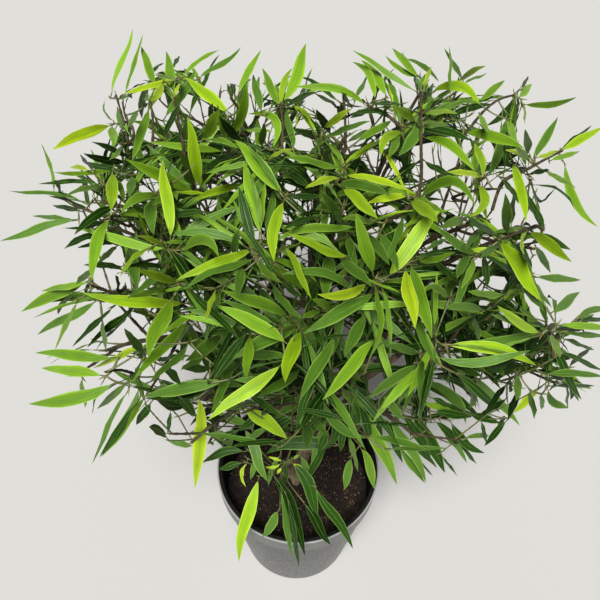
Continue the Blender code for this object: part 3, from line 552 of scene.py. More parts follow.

# Leaves placed by sight, by tint, those in front first; each leaf's tint follows how light or dark it shows,
# so it is partly painted light and shade. In pixels of the picture: foot x, foot y, tip x, tip y and width,
# then the bow to the left of the way from foot to tip as a share of the length, and for low leaves the
# heights of foot and tip
SEEN_LEAVES = {
    LIME: (
        (114, 124, 52, 150, 11, -0.04), (180, 78, 122, 94, 6), (163, 82, 150, 101, 8, 0.1),
        (150, 343, 93, 368, 7), (199, 393, 195, 489, 14, 0.03, 0.34, 0.25),
        (247, 458, 246, 487, 4, -0.18, 0.25, 0.235), (542, 386, 513, 413, 8, 0, 0.36, 0.33),
        (405, 266, 415, 329, 13), (370, 283, 317, 294, 10, 0.12), (521, 99, 525, 125, 4, 0.05),
        (423, 90, 431, 66, 5), (233, 102, 227, 84, 5), (341, 177, 305, 188, 6, -0.05),
        (342, 174, 411, 191, 6, 0.04), (322, 128, 352, 109, 7), (216, 288, 206, 320, 6),
        (266, 160, 294, 149, 5, 0.06), (486, 177, 446, 172, 5, -0.03), (530, 156, 505, 150, 4),
        (535, 158, 561, 150, 6, -0.03), (167, 248, 136, 236, 5, -0.05), (527, 230, 524, 255, 4, -0.15),
        (287, 462, 268, 457, 3, 0, 0.25, 0.252), (285, 463, 265, 467, 3, 0.1, 0.25, 0.245),
        (284, 464, 277, 474, 3, 0, 0.25, 0.24), (289, 462, 303, 468, 3, 0, 0.25, 0.24),
    ),
    FRESH: (
        (232, 115, 185, 77, 12), (113, 171, 111, 211, 12), (171, 243, 163, 159, 13),
        (202, 193, 187, 116, 12), (180, 283, 136, 270, 8), (190, 304, 82, 293, 12, 0.03),
        (240, 405, 287, 439, 15, 0.03, 0.35, 0.315), (384, 281, 442, 208, 17, 0.02),
        (497, 238, 542, 302, 14, 0.02), (441, 344, 537, 366, 13, 0.08), (542, 335, 497, 305, 9, 0.05),
        (527, 231, 572, 262, 11, 0.03), (512, 160, 526, 222, 10, 0.03), (558, 152, 603, 127, 9),
        (430, 90, 480, 105, 10, 0.22), (458, 81, 486, 66, 6, 0.05), (280, 106, 293, 68, 7, 0.1),
        (203, 141, 220, 109, 11), (284, 198, 274, 262, 12, -0.08), (246, 182, 192, 202, 8, -0.03),
        (341, 187, 378, 219, 12, 0.03), (342, 165, 381, 139, 6), (316, 136, 292, 104, 8, -0.1),
        (259, 246, 176, 280, 11), (352, 258, 287, 233, 9, 0.03), (283, 243, 312, 300, 8, 0.02),
        (286, 361, 208, 420, 14), (301, 328, 285, 383, 14, -0.04), (404, 131, 381, 157, 9, -0.25),
        (423, 113, 458, 114, 6, 0.04), (417, 123, 390, 106, 8, -0.05), (474, 141, 482, 177, 8, 0.08),
        (152, 247, 120, 277, 4, -0.1), (409, 200, 438, 223, 12, 0.06), (479, 182, 469, 217, 9, 0.3),
        (259, 476, 239, 562, 13, -0.03, 0.24, 0.168),
    ),
    LIGHT: (
        (110, 98, 133, 28, 6), (112, 125, 114, 146, 9), (180, 79, 220, 50, 5, 0.07),
        (197, 193, 125, 159, 12), (228, 152, 148, 142, 8), (117, 171, 53, 172, 4, 0.03),
        (158, 192, 121, 214, 8, -0.12), (110, 216, 92, 281, 12, -0.08), (172, 250, 78, 229, 10, 0.02),
        (92, 282, 41, 291, 7), (78, 300, 55, 350, 4), (106, 376, 41, 368, 12, -0.02),
        (174, 296, 148, 358, 15, -0.04), (374, 277, 356, 212, 13), (557, 325, 612, 330, 8, 0.03),
        (562, 160, 598, 227, 9, -0.1), (518, 98, 532, 84, 8), (420, 78, 392, 48, 8),
        (377, 101, 352, 62, 8, -0.16), (282, 105, 306, 43, 13, -0.05), (237, 97, 261, 50, 7, 0.03),
        (231, 137, 246, 82, 10, -0.08), (275, 150, 248, 114, 9, -0.42), (286, 196, 235, 140, 16),
        (262, 240, 244, 160, 13), (371, 106, 293, 87, 8, -0.1), (292, 346, 216, 305, 14, -0.03),
        (250, 334, 246, 379, 10), (378, 336, 322, 400, 13), (178, 78, 155, 75, 4, 0.05),
        (243, 129, 273, 132, 5), (388, 98, 361, 60, 10, -0.06), (421, 135, 475, 172, 9, 0.12),
        (462, 131, 525, 149, 11, 0.05), (507, 119, 517, 143, 6), (479, 113, 488, 133, 5),
        (549, 161, 580, 151, 6), (545, 171, 576, 188, 6), (332, 312, 312, 299, 7, -0.06),
        (320, 310, 302, 318, 6), (412, 197, 443, 212, 8), (474, 256, 461, 289, 8, 0.05),
        (414, 259, 456, 252, 7, -0.1), (420, 402, 453, 411, 7, 0, 0.34, 0.325), (551, 333, 560, 358, 7),
    ),
    MID: (
        (124, 98, 143, 34, 4), (156, 88, 141, 46, 9), (175, 96, 166, 51, 10), (55, 195, 41, 143, 2, -0.06),
        (90, 280, 21, 312, 13, -0.02), (118, 358, 35, 353, 12), (118, 383, 28, 404, 15, 0.06),
        (190, 318, 133, 380, 10), (347, 430, 358, 472, 6, 0, 0.29, 0.235),
        (360, 445, 375, 490, 9, 0.05, 0.27, 0.22), (362, 405, 397, 485, 14, 0, 0.32, 0.235),
        (338, 384, 368, 417, 9, 0, 0.35, 0.31), (410, 262, 432, 338, 14), (522, 105, 577, 97, 6, -0.07),
        (478, 102, 505, 80, 8), (451, 100, 449, 45, 3), (420, 94, 352, 50, 7), (280, 108, 262, 68, 9),
        (345, 168, 283, 157, 7), (181, 250, 219, 258, 11, 0.4), (360, 226, 272, 243, 8, -0.07),
        (259, 256, 282, 283, 8, -0.15), (292, 318, 221, 290, 12, -0.03), (375, 279, 369, 358, 7, 0.1),
        (150, 106, 132, 161, 9), (122, 144, 109, 160, 2, 0.1), (190, 169, 176, 149, 7),
        (394, 119, 356, 142, 7), (250, 167, 218, 183, 3, -0.1), (401, 132, 388, 158, 8),
        (422, 79, 385, 55, 5, 0.08), (424, 127, 448, 125, 5, 0.05), (529, 161, 515, 146, 7),
        (124, 270, 83, 265, 5, -0.06), (168, 287, 128, 297, 7, 0.03), (104, 186, 66, 196, 5, -0.06),
        (115, 177, 124, 203, 7, 0.05), (376, 222, 341, 219, 6, -0.04), (245, 171, 215, 188, 3, -0.12),
        (416, 198, 476, 207, 10, 0.36), (466, 219, 440, 228, 9, -0.05), (506, 295, 467, 291, 7, 0.04),
        (450, 297, 427, 285, 7, -0.05), (243, 391, 222, 402, 8), (519, 374, 516, 401, 7),
        (82, 377, 85, 408, 4), (160, 82, 148, 112, 8), (288, 461, 300, 455, 3, 0, 0.25, 0.255),
    ),
    GREEN: (
        (196, 80, 241, 47, 5, -0.04), (90, 204, 8, 191, 6, -0.05), (79, 219, 0, 241, 9, -0.02),
        (76, 220, 32, 216, 6), (157, 194, 154, 235, 12, -0.12), (128, 244, 138, 289, 13),
        (100, 299, 37, 335, 10), (145, 356, 124, 328, 8), (129, 382, 97, 409, 9),
        (129, 388, 92, 464, 3, -0.02), (141, 385, 101, 457, 11, 0.06, 0.33, 0.285),
        (197, 447, 168, 441, 7, 0, 0.27, 0.28), (230, 379, 142, 397, 14),
        (315, 390, 294, 433, 9, 0, 0.32, 0.28), (243, 425, 268, 482, 11, 0, 0.28, 0.245),
        (280, 508, 262, 537, 10, 0.05, 0.225, 0.19), (281, 488, 292, 557, 8, 0, 0.235, 0.178),
        (327, 418, 311, 465, 9, 0, 0.3, 0.25), (320, 398, 368, 438, 10, -0.16, 0.345, 0.3),
        (404, 378, 362, 427, 8, 0, 0.33, 0.285), (352, 455, 344, 490, 9, 0, 0.255, 0.215),
        (400, 398, 394, 433, 6, 0, 0.32, 0.275), (397, 445, 425, 483, 8, 0, 0.28, 0.24),
        (438, 418, 467, 463, 8, 0, 0.31, 0.265), (470, 371, 520, 426, 9, 0, 0.345, 0.315),
        (545, 388, 569, 408, 9, -0.18, 0.36, 0.335), (420, 378, 466, 424, 12, 0.15, 0.34, 0.295),
        (318, 385, 272, 422, 9, 0, 0.345, 0.305), (253, 428, 214, 411, 8, 0, 0.31, 0.325),
        (270, 424, 247, 441, 6, 0, 0.315, 0.285), (388, 413, 426, 483, 11, 0.03, 0.32, 0.25),
        (281, 452, 268, 486, 6, -0.05, 0.255, 0.215), (300, 452, 309, 489, 6, 0.05, 0.255, 0.212),
        (262, 452, 250, 480, 6, -0.05, 0.255, 0.225), (378, 291, 303, 334, 14), (303, 319, 232, 360, 14),
        (548, 331, 468, 341, 10, 0.05), (431, 358, 532, 350, 10, -0.08), (406, 303, 437, 365, 9),
        (540, 335, 490, 314, 8, -0.05), (421, 362, 368, 400, 10, -0.03), (550, 314, 580, 292, 11),
        (575, 320, 610, 308, 8, 0.1), (533, 277, 581, 280, 9), (535, 245, 551, 273, 7),
        (531, 163, 558, 117, 9), (465, 84, 444, 48, 5), (404, 57, 439, 82, 6, 0.08), (402, 127, 388, 76, 8),
        (262, 115, 253, 74, 9), (294, 152, 286, 107, 8), (258, 257, 184, 290, 8, -0.05),
        (358, 293, 281, 274, 9, -0.14), (336, 332, 300, 401, 12), (150, 79, 142, 119, 8, -0.08),
        (138, 111, 128, 128, 5), (163, 121, 195, 68, 9, -0.04), (122, 131, 117, 106, 6),
        (114, 123, 106, 98, 3, 0.2), (180, 151, 187, 119, 7), (298, 106, 313, 67, 4), (353, 106, 367, 75, 6),
        (322, 137, 371, 121, 5), (262, 147, 263, 123, 8), (463, 84, 487, 73, 4),
        (421, 112, 398, 156, 12, 0.12), (508, 114, 488, 177, 11, 0.05), (519, 90, 486, 126, 8, 0.12),
        (527, 156, 525, 129, 7, -0.05), (118, 245, 97, 264, 6), (92, 266, 76, 285, 6, 0.05),
        (170, 264, 127, 299, 6, 0.03), (132, 175, 130, 197, 8), (156, 317, 131, 311, 6),
        (62, 193, 54, 180, 4), (334, 184, 391, 196, 10, 0.08), (344, 226, 320, 191, 9, -0.03),
        (345, 224, 333, 212, 6), (366, 233, 390, 266, 9, 0.04), (338, 257, 372, 287, 10, 0.03),
        (346, 233, 357, 268, 9), (330, 250, 325, 300, 14), (256, 284, 290, 319, 9, -0.05),
        (271, 283, 303, 319, 8, -0.08), (241, 262, 238, 298, 10), (232, 256, 239, 229, 7),
        (273, 187, 268, 239, 8), (480, 257, 436, 226, 9, 0.04), (508, 236, 505, 193, 10),
        (489, 233, 542, 226, 6, -0.02), (531, 231, 571, 250, 9), (528, 270, 552, 308, 6, -0.06),
        (468, 251, 457, 280, 9), (486, 310, 445, 307, 8, -0.04), (404, 212, 386, 262, 8, 0.04),
        (379, 230, 398, 273, 9, 0.04), (480, 228, 465, 251, 8), (498, 243, 480, 259, 6),
        (190, 342, 149, 383, 7, 0.04), (163, 351, 191, 324, 10), (188, 320, 196, 351, 7, 0.04),
        (223, 333, 185, 361, 13, 0.04), (204, 357, 181, 370, 6), (210, 368, 183, 369, 9),
        (102, 318, 106, 352, 4), (366, 312, 344, 358, 12), (303, 367, 256, 398, 9, 0.04),
        (238, 359, 292, 356, 9, 0.05), (236, 358, 211, 413, 9), (530, 390, 534, 419, 2),
        (542, 394, 541, 409, 2), (542, 374, 604, 377, 9, 0.04), (560, 332, 613, 338, 7),
        (488, 362, 504, 377, 6), (514, 360, 503, 377, 5), (475, 316, 478, 341, 7),
        (420, 354, 384, 346, 9, -0.04), (372, 128, 346, 143, 6), (448, 238, 425, 250, 6),
        (520, 285, 545, 312, 6), (476, 389, 470, 408, 8), (317, 404, 300, 428, 9, 0, 0.34, 0.32),
        (380, 392, 404, 420, 9, 0, 0.36, 0.34),
    ),
    DARK: (
        (102, 184, 38, 184, 5, -0.04), (114, 306, 72, 347, 3), (137, 303, 87, 348, 6),
        (153, 400, 136, 425, 9, 0, 0.32, 0.29), (171, 408, 168, 434, 5, 0, 0.31, 0.28),
        (248, 450, 202, 463, 9, -0.1, 0.26, 0.245), (246, 462, 218, 469, 7, 0, 0.25, 0.235),
        (204, 418, 224, 447, 9, 0, 0.3, 0.26), (288, 500, 299, 567, 6, 0, 0.24, 0.172),
        (291, 459, 317, 519, 13, 0.09, 0.25, 0.205), (314, 486, 353, 549, 10, 0.02, 0.235, 0.175),
        (405, 440, 437, 468, 7, 0.04, 0.285, 0.25), (412, 408, 445, 473, 15, 0, 0.31, 0.25),
        (448, 420, 485, 453, 9, -0.12, 0.31, 0.275), (509, 418, 484, 446, 7, 0, 0.33, 0.29),
        (480, 418, 487, 444, 5, 0, 0.32, 0.29), (548, 340, 582, 400, 10),
        (243, 428, 213, 441, 7, 0, 0.3, 0.275), (331, 440, 307, 481, 9, -0.05, 0.275, 0.225),
        (333, 392, 350, 441, 9, 0.05, 0.33, 0.285), (380, 414, 403, 463, 9, 0.03, 0.315, 0.26),
        (402, 411, 431, 460, 11, 0.03, 0.32, 0.265), (421, 405, 479, 416, 10, 0.03, 0.335, 0.31),
        (433, 419, 463, 450, 9, 0.04, 0.315, 0.275), (300, 402, 262, 400, 9, 0.05, 0.33, 0.325),
        (300, 415, 264, 432, 9, 0, 0.32, 0.29), (345, 405, 330, 447, 10, 0, 0.325, 0.28),
        (356, 402, 372, 445, 9, 0.05, 0.33, 0.28), (290, 452, 283, 490, 6, 0, 0.252, 0.21),
        (560, 150, 592, 125, 5), (341, 103, 300, 77, 5, -0.05), (186, 286, 240, 341, 7),
        (162, 140, 181, 101, 6), (188, 118, 211, 72, 4, 0.04), (198, 100, 220, 54, 3, 0.04),
        (209, 122, 213, 103, 5), (243, 143, 219, 116, 9, 0.05), (133, 157, 91, 142, 6),
        (128, 163, 83, 153, 8, 0.05), (94, 173, 80, 154, 5), (122, 171, 83, 161, 9, 0.04),
        (151, 80, 164, 63, 3, 0.15), (172, 68, 180, 56, 2), (285, 106, 318, 92, 6, 0.04),
        (340, 111, 312, 92, 5, -0.05), (352, 108, 341, 92, 2), (402, 104, 368, 103, 3),
        (396, 121, 349, 114, 5, -0.12), (316, 140, 294, 131, 7, -0.08), (331, 134, 316, 109, 9),
        (236, 152, 204, 169, 8), (446, 118, 492, 104, 8, 0.06), (428, 112, 451, 89, 6, 0.06),
        (411, 152, 380, 154, 5, -0.12), (423, 160, 456, 178, 7, -0.03), (522, 89, 528, 76, 3),
        (528, 174, 550, 170, 4), (417, 93, 415, 75, 5), (427, 98, 433, 83, 4), (102, 216, 48, 196, 6, -0.03),
        (119, 205, 74, 235, 9, -0.08), (103, 233, 64, 249, 8, -0.07), (116, 243, 77, 248, 5, -0.04),
        (165, 267, 126, 267, 6, -0.05), (120, 294, 115, 275, 5), (82, 171, 90, 209, 6),
        (172, 216, 206, 212, 8, 0.03), (280, 281, 301, 298, 6),
        (320, 216, 282, 231, 6, -0.06), (288, 196, 323, 198, 6), (285, 172, 310, 188, 8, 0.05),
        (498, 236, 466, 215, 6, 0.04), (511, 228, 514, 190, 4), (500, 177, 519, 204, 6, 0.04),
        (530, 180, 558, 184, 4, -0.7), (525, 188, 545, 232, 5), (530, 183, 575, 211, 2, 0.16),
        (512, 240, 532, 269, 6, 0.06), (484, 252, 487, 290, 7), (428, 256, 459, 284, 7),
        (187, 404, 156, 399, 9, 0.14), (179, 396, 196, 416, 8), (150, 360, 191, 356, 5),
        (164, 365, 181, 385, 8), (212, 387, 144, 398, 9, 0.06), (130, 313, 96, 350, 4),
        (140, 398, 99, 458, 5, 0, 0.325, 0.285), (297, 409, 268, 419, 8, 0, 0.32, 0.305),
        (456, 373, 500, 413, 10, 0.03), (507, 383, 484, 415, 7), (456, 440, 477, 464, 4, 0, 0.28, 0.25),
        (465, 412, 500, 423, 9, 0, 0.33, 0.315), (404, 445, 433, 476, 5, 0, 0.28, 0.24),
        (440, 453, 457, 476, 2, 0, 0.275, 0.25), (566, 384, 568, 408, 3), (548, 386, 596, 386, 3),
        (560, 338, 595, 350, 5), (568, 368, 592, 346, 3), (578, 322, 612, 318, 6), (556, 351, 606, 371, 6),
        (338, 445, 266, 454, 15, -0.1, 0.275, 0.262), (520, 388, 508, 420, 8), (507, 398, 478, 418, 7),
        (520, 358, 487, 372, 6), (518, 361, 492, 384, 7), (446, 360, 483, 377, 8), (511, 379, 509, 392, 5),
        (440, 182, 424, 200, 8), (372, 108, 350, 118, 6), (428, 396, 452, 407, 6, 0, 0.35, 0.335),
        (430, 411, 472, 417, 9, 0, 0.34, 0.325), (452, 361, 480, 372, 7), (84, 212, 52, 205, 7),
        (104, 222, 80, 227, 8), (124, 266, 98, 268, 5), (528, 196, 541, 228, 5),
        (300, 396, 276, 402, 8, 0, 0.345, 0.335), (352, 396, 360, 431, 9, 0, 0.345, 0.315),
        (330, 426, 318, 452, 9, 0, 0.31, 0.285), (345, 418, 340, 452, 8, 0, 0.32, 0.285),
        (262, 412, 240, 431, 8, 0, 0.33, 0.31),
    ),
    DEEP: (
        (272, 471, 305, 556, 12, 0.05, 0.245, 0.178), (302, 500, 331, 545, 10, 0, 0.22, 0.18),
    ),
}


@dataclass
class Limb:
    """A trunk, bough or stem as a tapering tube, with the points that its curve is drawn from."""
    centres: list
    radii: list
    sides: int
    guide: tuple = None


@dataclass
class Mass:
    """One mass of leaves: where its stem starts and aims, its rule's sizes, and its space."""
    start: Vector
    heading: Vector
    radius: float
    aim: Vector
    twig_holds: Callable
    hang: float = 0.0
    twig_count: int = TWIG_COUNT
    twig_lengths: tuple = TWIG_LENGTHS
    chance: random.Random = None
    stem: tuple = None
    blockers: list = field(default_factory=list)


@dataclass
class Leaf:
    """One leaf: where its stalk leaves the twig, its spine from base to tip, and its form."""
    foot: Vector
    spine: list
    width: float
    fold: float
    phase: float


class Heap:
    """Vertices, faces and surface coordinates of many small shapes that are joined into one piece."""

    def __init__(self):
        self.vertices = []
        self.faces = []
        self.coordinates = []

    def add(self, vertices, faces, coordinates=None):
        first = len(self.vertices)
        self.vertices.extend(vertices)
        self.faces.extend(tuple(first + corner for corner in face) for face in faces)
        self.coordinates.extend(coordinates or [(0.5, 0.5)] * len(vertices))


def crowd_cell(place):
    return tuple(math.floor(length / CROWD_CELL) for length in place)


class Crowd:
    """Leaves so far, found by place, so that a new leaf keeps clear of those near it."""

    def __init__(self):
        self.cells = {}

    def near(self, place):
        middle = crowd_cell(place)
        steps = (-1, 0, 1)
        for x in steps:
            for y in steps:
                for z in steps:
                    yield from self.cells.get((middle[0] + x, middle[1] + y, middle[2] + z), ())

    def add(self, place, tree):
        self.cells.setdefault(crowd_cell(place), []).append(tree)


def share_between(ends, share):
    return ends[0] + (ends[1] - ends[0]) * share


def range_at(low, top, high):
    """A range of sizes at a height, between that of the low leaves and that of the high ones."""
    return [share_between(ends, high) for ends in zip(low, top)]


def swing(chance):
    return chance.uniform(-1.0, 1.0)


def new_object(name, data):
    """Object of a mesh, a lamp or a camera, in the scene."""
    thing = bpy.data.objects.new(name, data)
    bpy.context.scene.collection.objects.link(thing)
    return thing


def bare_mesh(name, heap):
    mesh = bpy.data.meshes.new(name)
    mesh.from_pydata([tuple(vertex) for vertex in heap.vertices], [], heap.faces)
    layer = mesh.uv_layers.new(name="surface")
    corners = numpy.empty(len(mesh.loops), dtype=numpy.int32)
    mesh.loops.foreach_get("vertex_index", corners)
    layer.data.foreach_set("uv", numpy.array(heap.coordinates)[corners].ravel())
    return mesh


def add_piece(name, heap, finish, nodes):
    """Joined piece with its finish and the nodes that it stands for."""
    mesh = bare_mesh(name, heap)
    mesh.materials.append(finish)
    mesh.shade_smooth()
    piece = new_object(name, mesh)
    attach(piece, "root")
    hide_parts(*nodes)
    return piece


# The source's rule for limbs, stems and twigs


def body_radius(height):
    """Outer radius of the pot's tapering body, below its collar."""
    body_top = POT_HEIGHT - COLLAR_HEIGHT
    return BASE_RADIUS + (RIM_RADIUS - COLLAR_STEP - BASE_RADIUS) * height / body_top


def inner_radius(height):
    """Radius of the pot's inside, which follows its outside a wall's thickness in."""
    body_top = POT_HEIGHT - COLLAR_HEIGHT
    if height <= body_top - STEP_HEIGHT:
        return body_radius(height) - WALL
    if height < body_top:
        share = (height - body_top + STEP_HEIGHT) / STEP_HEIGHT
        narrow = body_radius(body_top - STEP_HEIGHT) - WALL
        return share_between((narrow, RIM_RADIUS - RIM_BEAD - WALL), share)
    return RIM_RADIUS - RIM_BEAD - WALL


def tube(centres, radii, sides):
    """Vertices and faces of a closed tapering tube with flat ends."""
    vertices = []
    faces = []
    heading = (centres[1] - centres[0]).normalized()
    across = heading.orthogonal().normalized()
    last = len(centres) - 1
    for ring, (centre, radius) in enumerate(zip(centres, radii)):
        ahead = (centres[min(ring + 1, last)] - centres[max(ring - 1, 0)]).normalized()
        across = heading.rotation_difference(ahead) @ across
        heading = ahead
        beside = heading.cross(across)
        for corner in range(sides):
            angle = math.tau * corner / sides
            vertices.append(centre + (across * math.cos(angle) + beside * math.sin(angle)) * radius)
    for ring in range(last):
        low = ring * sides
        high = low + sides
        for corner in range(sides):
            after = (corner + 1) % sides
            faces.append((low + corner, low + after, high + after, high + corner))
    faces.append(tuple(reversed(range(sides))))
    faces.append(tuple(range(last * sides, last * sides + sides)))
    return vertices, faces


def skin_of(limb, clearance):
    """Tube round a limb, a clearance off its surface."""
    longer = list(limb.centres)
    longer[-1] = longer[-1] + (longer[-1] - longer[-2]).normalized() * clearance
    return tube(longer, [radius + clearance for radius in limb.radii], limb.sides)


def trunk_place(share):
    """Centre of the trunk at a share of its height: it leans back and sways once."""
    sideways = TRUNK_LEAN * share ** TRUNK_LEAN_CURVE + TRUNK_SWAY * math.sin(math.pi * share)
    foot = FILL_TOP + GAP
    return Vector((sideways.x, sideways.y, foot + (TRUNK_TOP - foot) * share))


def trunk_radius(share):
    flare = ROOT_FLARE * max(0.0, 1.0 - share / ROOT_FLARE_HEIGHT) ** 2
    return share_between((TRUNK_FOOT_RADIUS, TRUNK_TOP_RADIUS), share) + flare


def plan_trunk():
    shares = [0.0, ROOT_FLARE_MIDDLE, ROOT_FLARE_HEIGHT]
    higher = TRUNK_RINGS - len(shares)
    shares += [share_between((ROOT_FLARE_HEIGHT, 1.0), (ring + 1) / higher) for ring in range(higher)]
    return Limb([trunk_place(share) for share in shares], [trunk_radius(share) for share in shares],
                TRUNK_SIDES)


def bent_path(start, middle, end, rings):
    """Points on a curve that leaves the start towards the middle point and ends at the end."""
    path = []
    for ring in range(rings):
        share = ring / (rings - 1)
        near = start.lerp(middle, share)
        path.append(near.lerp(middle.lerp(end, share), share))
    return path


def tapering(radii, rings):
    return [share_between(radii, ring / (rings - 1)) for ring in range(rings)]


def plan_bough(start, end, radii, sag):
    middle = start.lerp(end, 0.5)
    middle.z -= sag * (end - start).to_2d().length
    centres = bent_path(start, middle, end, BOUGH_RINGS)
    return Limb(centres, tapering(radii, BOUGH_RINGS), BOUGH_SIDES, (start, middle, end))


def crown_reach(direction_up):
    """Half-widths of the crown's rounded box, which is deeper below its centre than above."""
    height = CROWN_REACH.z if direction_up > 0.0 else CROWN_REACH_DOWN
    return Vector((CROWN_REACH.x, CROWN_REACH.y, height))


def crown_share(place):
    """0 at the crown's centre and 1 on the rounded box that holds its leaf tips."""
    offset = place - CROWN_CENTRE
    reach = crown_reach(offset.z)
    total = sum(abs(offset[axis] / reach[axis]) ** CROWN_SQUARENESS for axis in range(3))
    return total ** (1.0 / CROWN_SQUARENESS)


def height_over_front(place):
    """Height over the slope that bounds the crown's underside at the front."""
    return place.z - FRONT_CLEAR_HEIGHT - FRONT_CLEAR_SLOPE * -place.y


def mass_centres():
    """Name and centre of each mass of the crown, tier by tier."""
    masses = []
    for tier, count, first, ring, level in TIERS:
        for number in range(count):
            bearing = math.radians(first + FULL_TURN * number / count)
            offset = Vector((ring * math.cos(bearing), ring * math.sin(bearing), level))
            masses.append((f"{tier}_{number + 1}", CROWN_CENTRE + offset * crown_reach(level)))
    masses.append(("leader", CROWN_CENTRE + Vector((0.0, 0.0, LEADER_LEVEL * CROWN_REACH.z))))
    return masses


def cell_of(centre, masses):
    """Planes halfway to the other masses' centres: (outward direction, distance along it)."""
    planes = []
    for _, other in masses:
        apart = other - centre
        if apart.length > 0.0:
            outward = apart.normalized()
            planes.append((outward, outward.dot(centre.lerp(other, 0.5)) - CELL_MARGIN))
    return planes


def within_crown_cell(planes, limit):
    """Test for a place in one mass's cell, within a share of the crown's reach."""
    def holds(place):
        if crown_share(place) > limit or height_over_front(place) < 0.0:
            return False
        return all(outward.dot(place) < distance for outward, distance in planes)
    return holds


def within_front_shoot(place):
    """Test for a place in the low shoot's own space, in front of and under the crown."""
    under_crown = height_over_front(place) < -CELL_MARGIN
    return under_crown and (place - FRONT_SHOOT_TIP).length < FRONT_SHOOT_REACH


def clear_of_pot(place, clearance):
    """True over the rim, outside the pot, or inside it over the filling."""
    across = place.to_2d().length
    if place.z > POT_HEIGHT + clearance or across > RIM_RADIUS + clearance:
        return True
    return across < inner_radius(place.z) - clearance and place.z > FILL_TOP + clearance


def way_clear_of_pot(places):
    for start, end in zip(places, places[1:]):
        for test in range(POT_TESTS_PER_LENGTH + 1):
            if not clear_of_pot(start.lerp(end, test / POT_TESTS_PER_LENGTH), LIMB_CLEARANCE):
                return False
    return True


def fits(places, shape, holds, blockers):
    """True where a twig keeps to its space and clears the pot and everything in its way."""
    if not all(holds(place) for place in places) or not way_clear_of_pot(places):
        return False
    tree = BVHTree.FromPolygons(*shape)
    return not any(tree.overlap(blocker) for blocker in blockers)


def turned_about(vector, axis, degrees):
    return Matrix.Rotation(math.radians(degrees), 3, axis) @ vector


def place_along(path, share):
    """Place and heading at a share of the way along a path."""
    step = share * (len(path) - 1)
    ring = min(int(step), len(path) - 2)
    return path[ring].lerp(path[ring + 1], step - ring), (path[ring + 1] - path[ring]).normalized()


def branching(heading, bearing, spread):
    """Direction that leaves a heading at an angle, on the side that the bearing gives."""
    across = turned_about(heading.orthogonal().normalized(), heading, bearing)
    angle = math.radians(spread)
    return heading * math.cos(angle) + across * math.sin(angle)


def stem_of(mass):
    """Stem of a mass: on from its carrier's tip, then bending towards the mass's outer side."""
    start = mass.start + mass.heading * GAP
    stray = Vector((swing(mass.chance), swing(mass.chance), swing(mass.chance))) * STEM_STRAY
    end = mass.aim + stray
    middle = start + mass.heading * (end - start).length * STEM_BEND
    centres = bent_path(start, middle, end, STEM_RINGS)
    centres[1] = start + mass.heading * (centres[1] - start).length
    return centres, tapering((mass.radius, STEM_TIP_RADIUS), STEM_RINGS)


def side_twig(stem, share, bearing, mass):
    """One twig off a stem, shorter and closer to the stem's heading towards its tip."""
    root, heading = place_along(stem, share)
    for attempt in range(TWIG_TRIES):
        turn = bearing + swing(mass.chance) * TWIG_TURN_STEP * attempt
        outward = branching(heading, turn, share_between(TWIG_SPREAD, share))
        length = share_between(mass.twig_lengths, share) * (1.0 - TWIG_SHORTER_STEP * attempt)
        rise = Vector((0.0, 0.0, TWIG_RISE * length))
        guide = (root, root + outward * length * 0.5, root + outward * length + rise)
        shape = tube(bent_path(*guide, TWIG_RINGS), tapering(TWIG_RADII, TWIG_RINGS), TWIG_SIDES)
        if fits(shape[0][TWIG_SIDES:], shape, mass.twig_holds, mass.blockers):
            return guide
    return None


def side_twigs(stem, mass):
    """Twigs off a stem, turned by the golden angle."""
    twigs = []
    bearing = mass.chance.uniform(0.0, FULL_TURN)
    for number in range(mass.twig_count):
        share = share_between(TWIG_ZONE, number / (mass.twig_count - 1))
        bearing += GOLDEN_ANGLE
        twig = side_twig(stem, share, bearing, mass)
        if twig:
            twigs.append(twig)
    return twigs


def tip_of(limb):
    """Place, heading and radius of a limb's end, where a mass's stem goes on from it."""
    heading = (limb.centres[-1] - limb.centres[-2]).normalized()
    return limb.centres[-1], heading, limb.radii[-1]


def bough_end(tier, centre):
    """Where a bough ends: on the way from a place on the trunk out to its mass's centre."""
    return trunk_place(BOUGH_HEARTS[tier]).lerp(centre, BOUGH_END_SHARES[tier])


def trunk_boughs(tier, centres):
    """A bough from the trunk to each mass of a tier; neighbours leave it at heights well apart."""
    boughs = {}
    for number, (name, centre) in enumerate(centres.items()):
        order = number % 2 * ((len(centres) + 1) // 2) + number // 2
        start = trunk_place(share_between(BOUGH_STARTS[tier], order / (len(centres) - 1)))
        boughs[name] = plan_bough(start, bough_end(tier, centre), BOUGH_RADII[tier], BOUGH_SAG)
    return boughs


def forked_boughs(centres, carriers, carrier_centres):
    """A bough to each top mass, forking off the wide bough whose mass lies nearest."""
    boughs = {}
    for name, centre in centres.items():
        nearest = min(carriers, key=lambda other: (carrier_centres[other] - centre).length)
        start, _ = place_along(carriers[nearest].centres, TOP_FORK)
        boughs[name] = plan_bough(start, bough_end("top", centre), BOUGH_RADII["top"], 0.0)
    return boughs


def plan_boughs():
    """Every bough by the name of the mass that it carries; the trunk itself carries the leader."""
    tiers = {tier: {} for tier, *_ in TIERS}
    for name, centre in mass_centres():
        tier = name.split("_")[0]
        if tier in tiers:
            tiers[tier][name] = centre
    boughs = trunk_boughs("low", tiers["low"])
    wide = trunk_boughs("wide", tiers["wide"])
    boughs |= wide
    boughs |= forked_boughs(tiers["top"], wide, tiers["wide"])
    boughs["front_shoot"] = plan_bough(trunk_place(FRONT_BOUGH_START), FRONT_BOUGH_TIP,
                                       FRONT_BOUGH_RADII, -BOUGH_SAG)
    return boughs


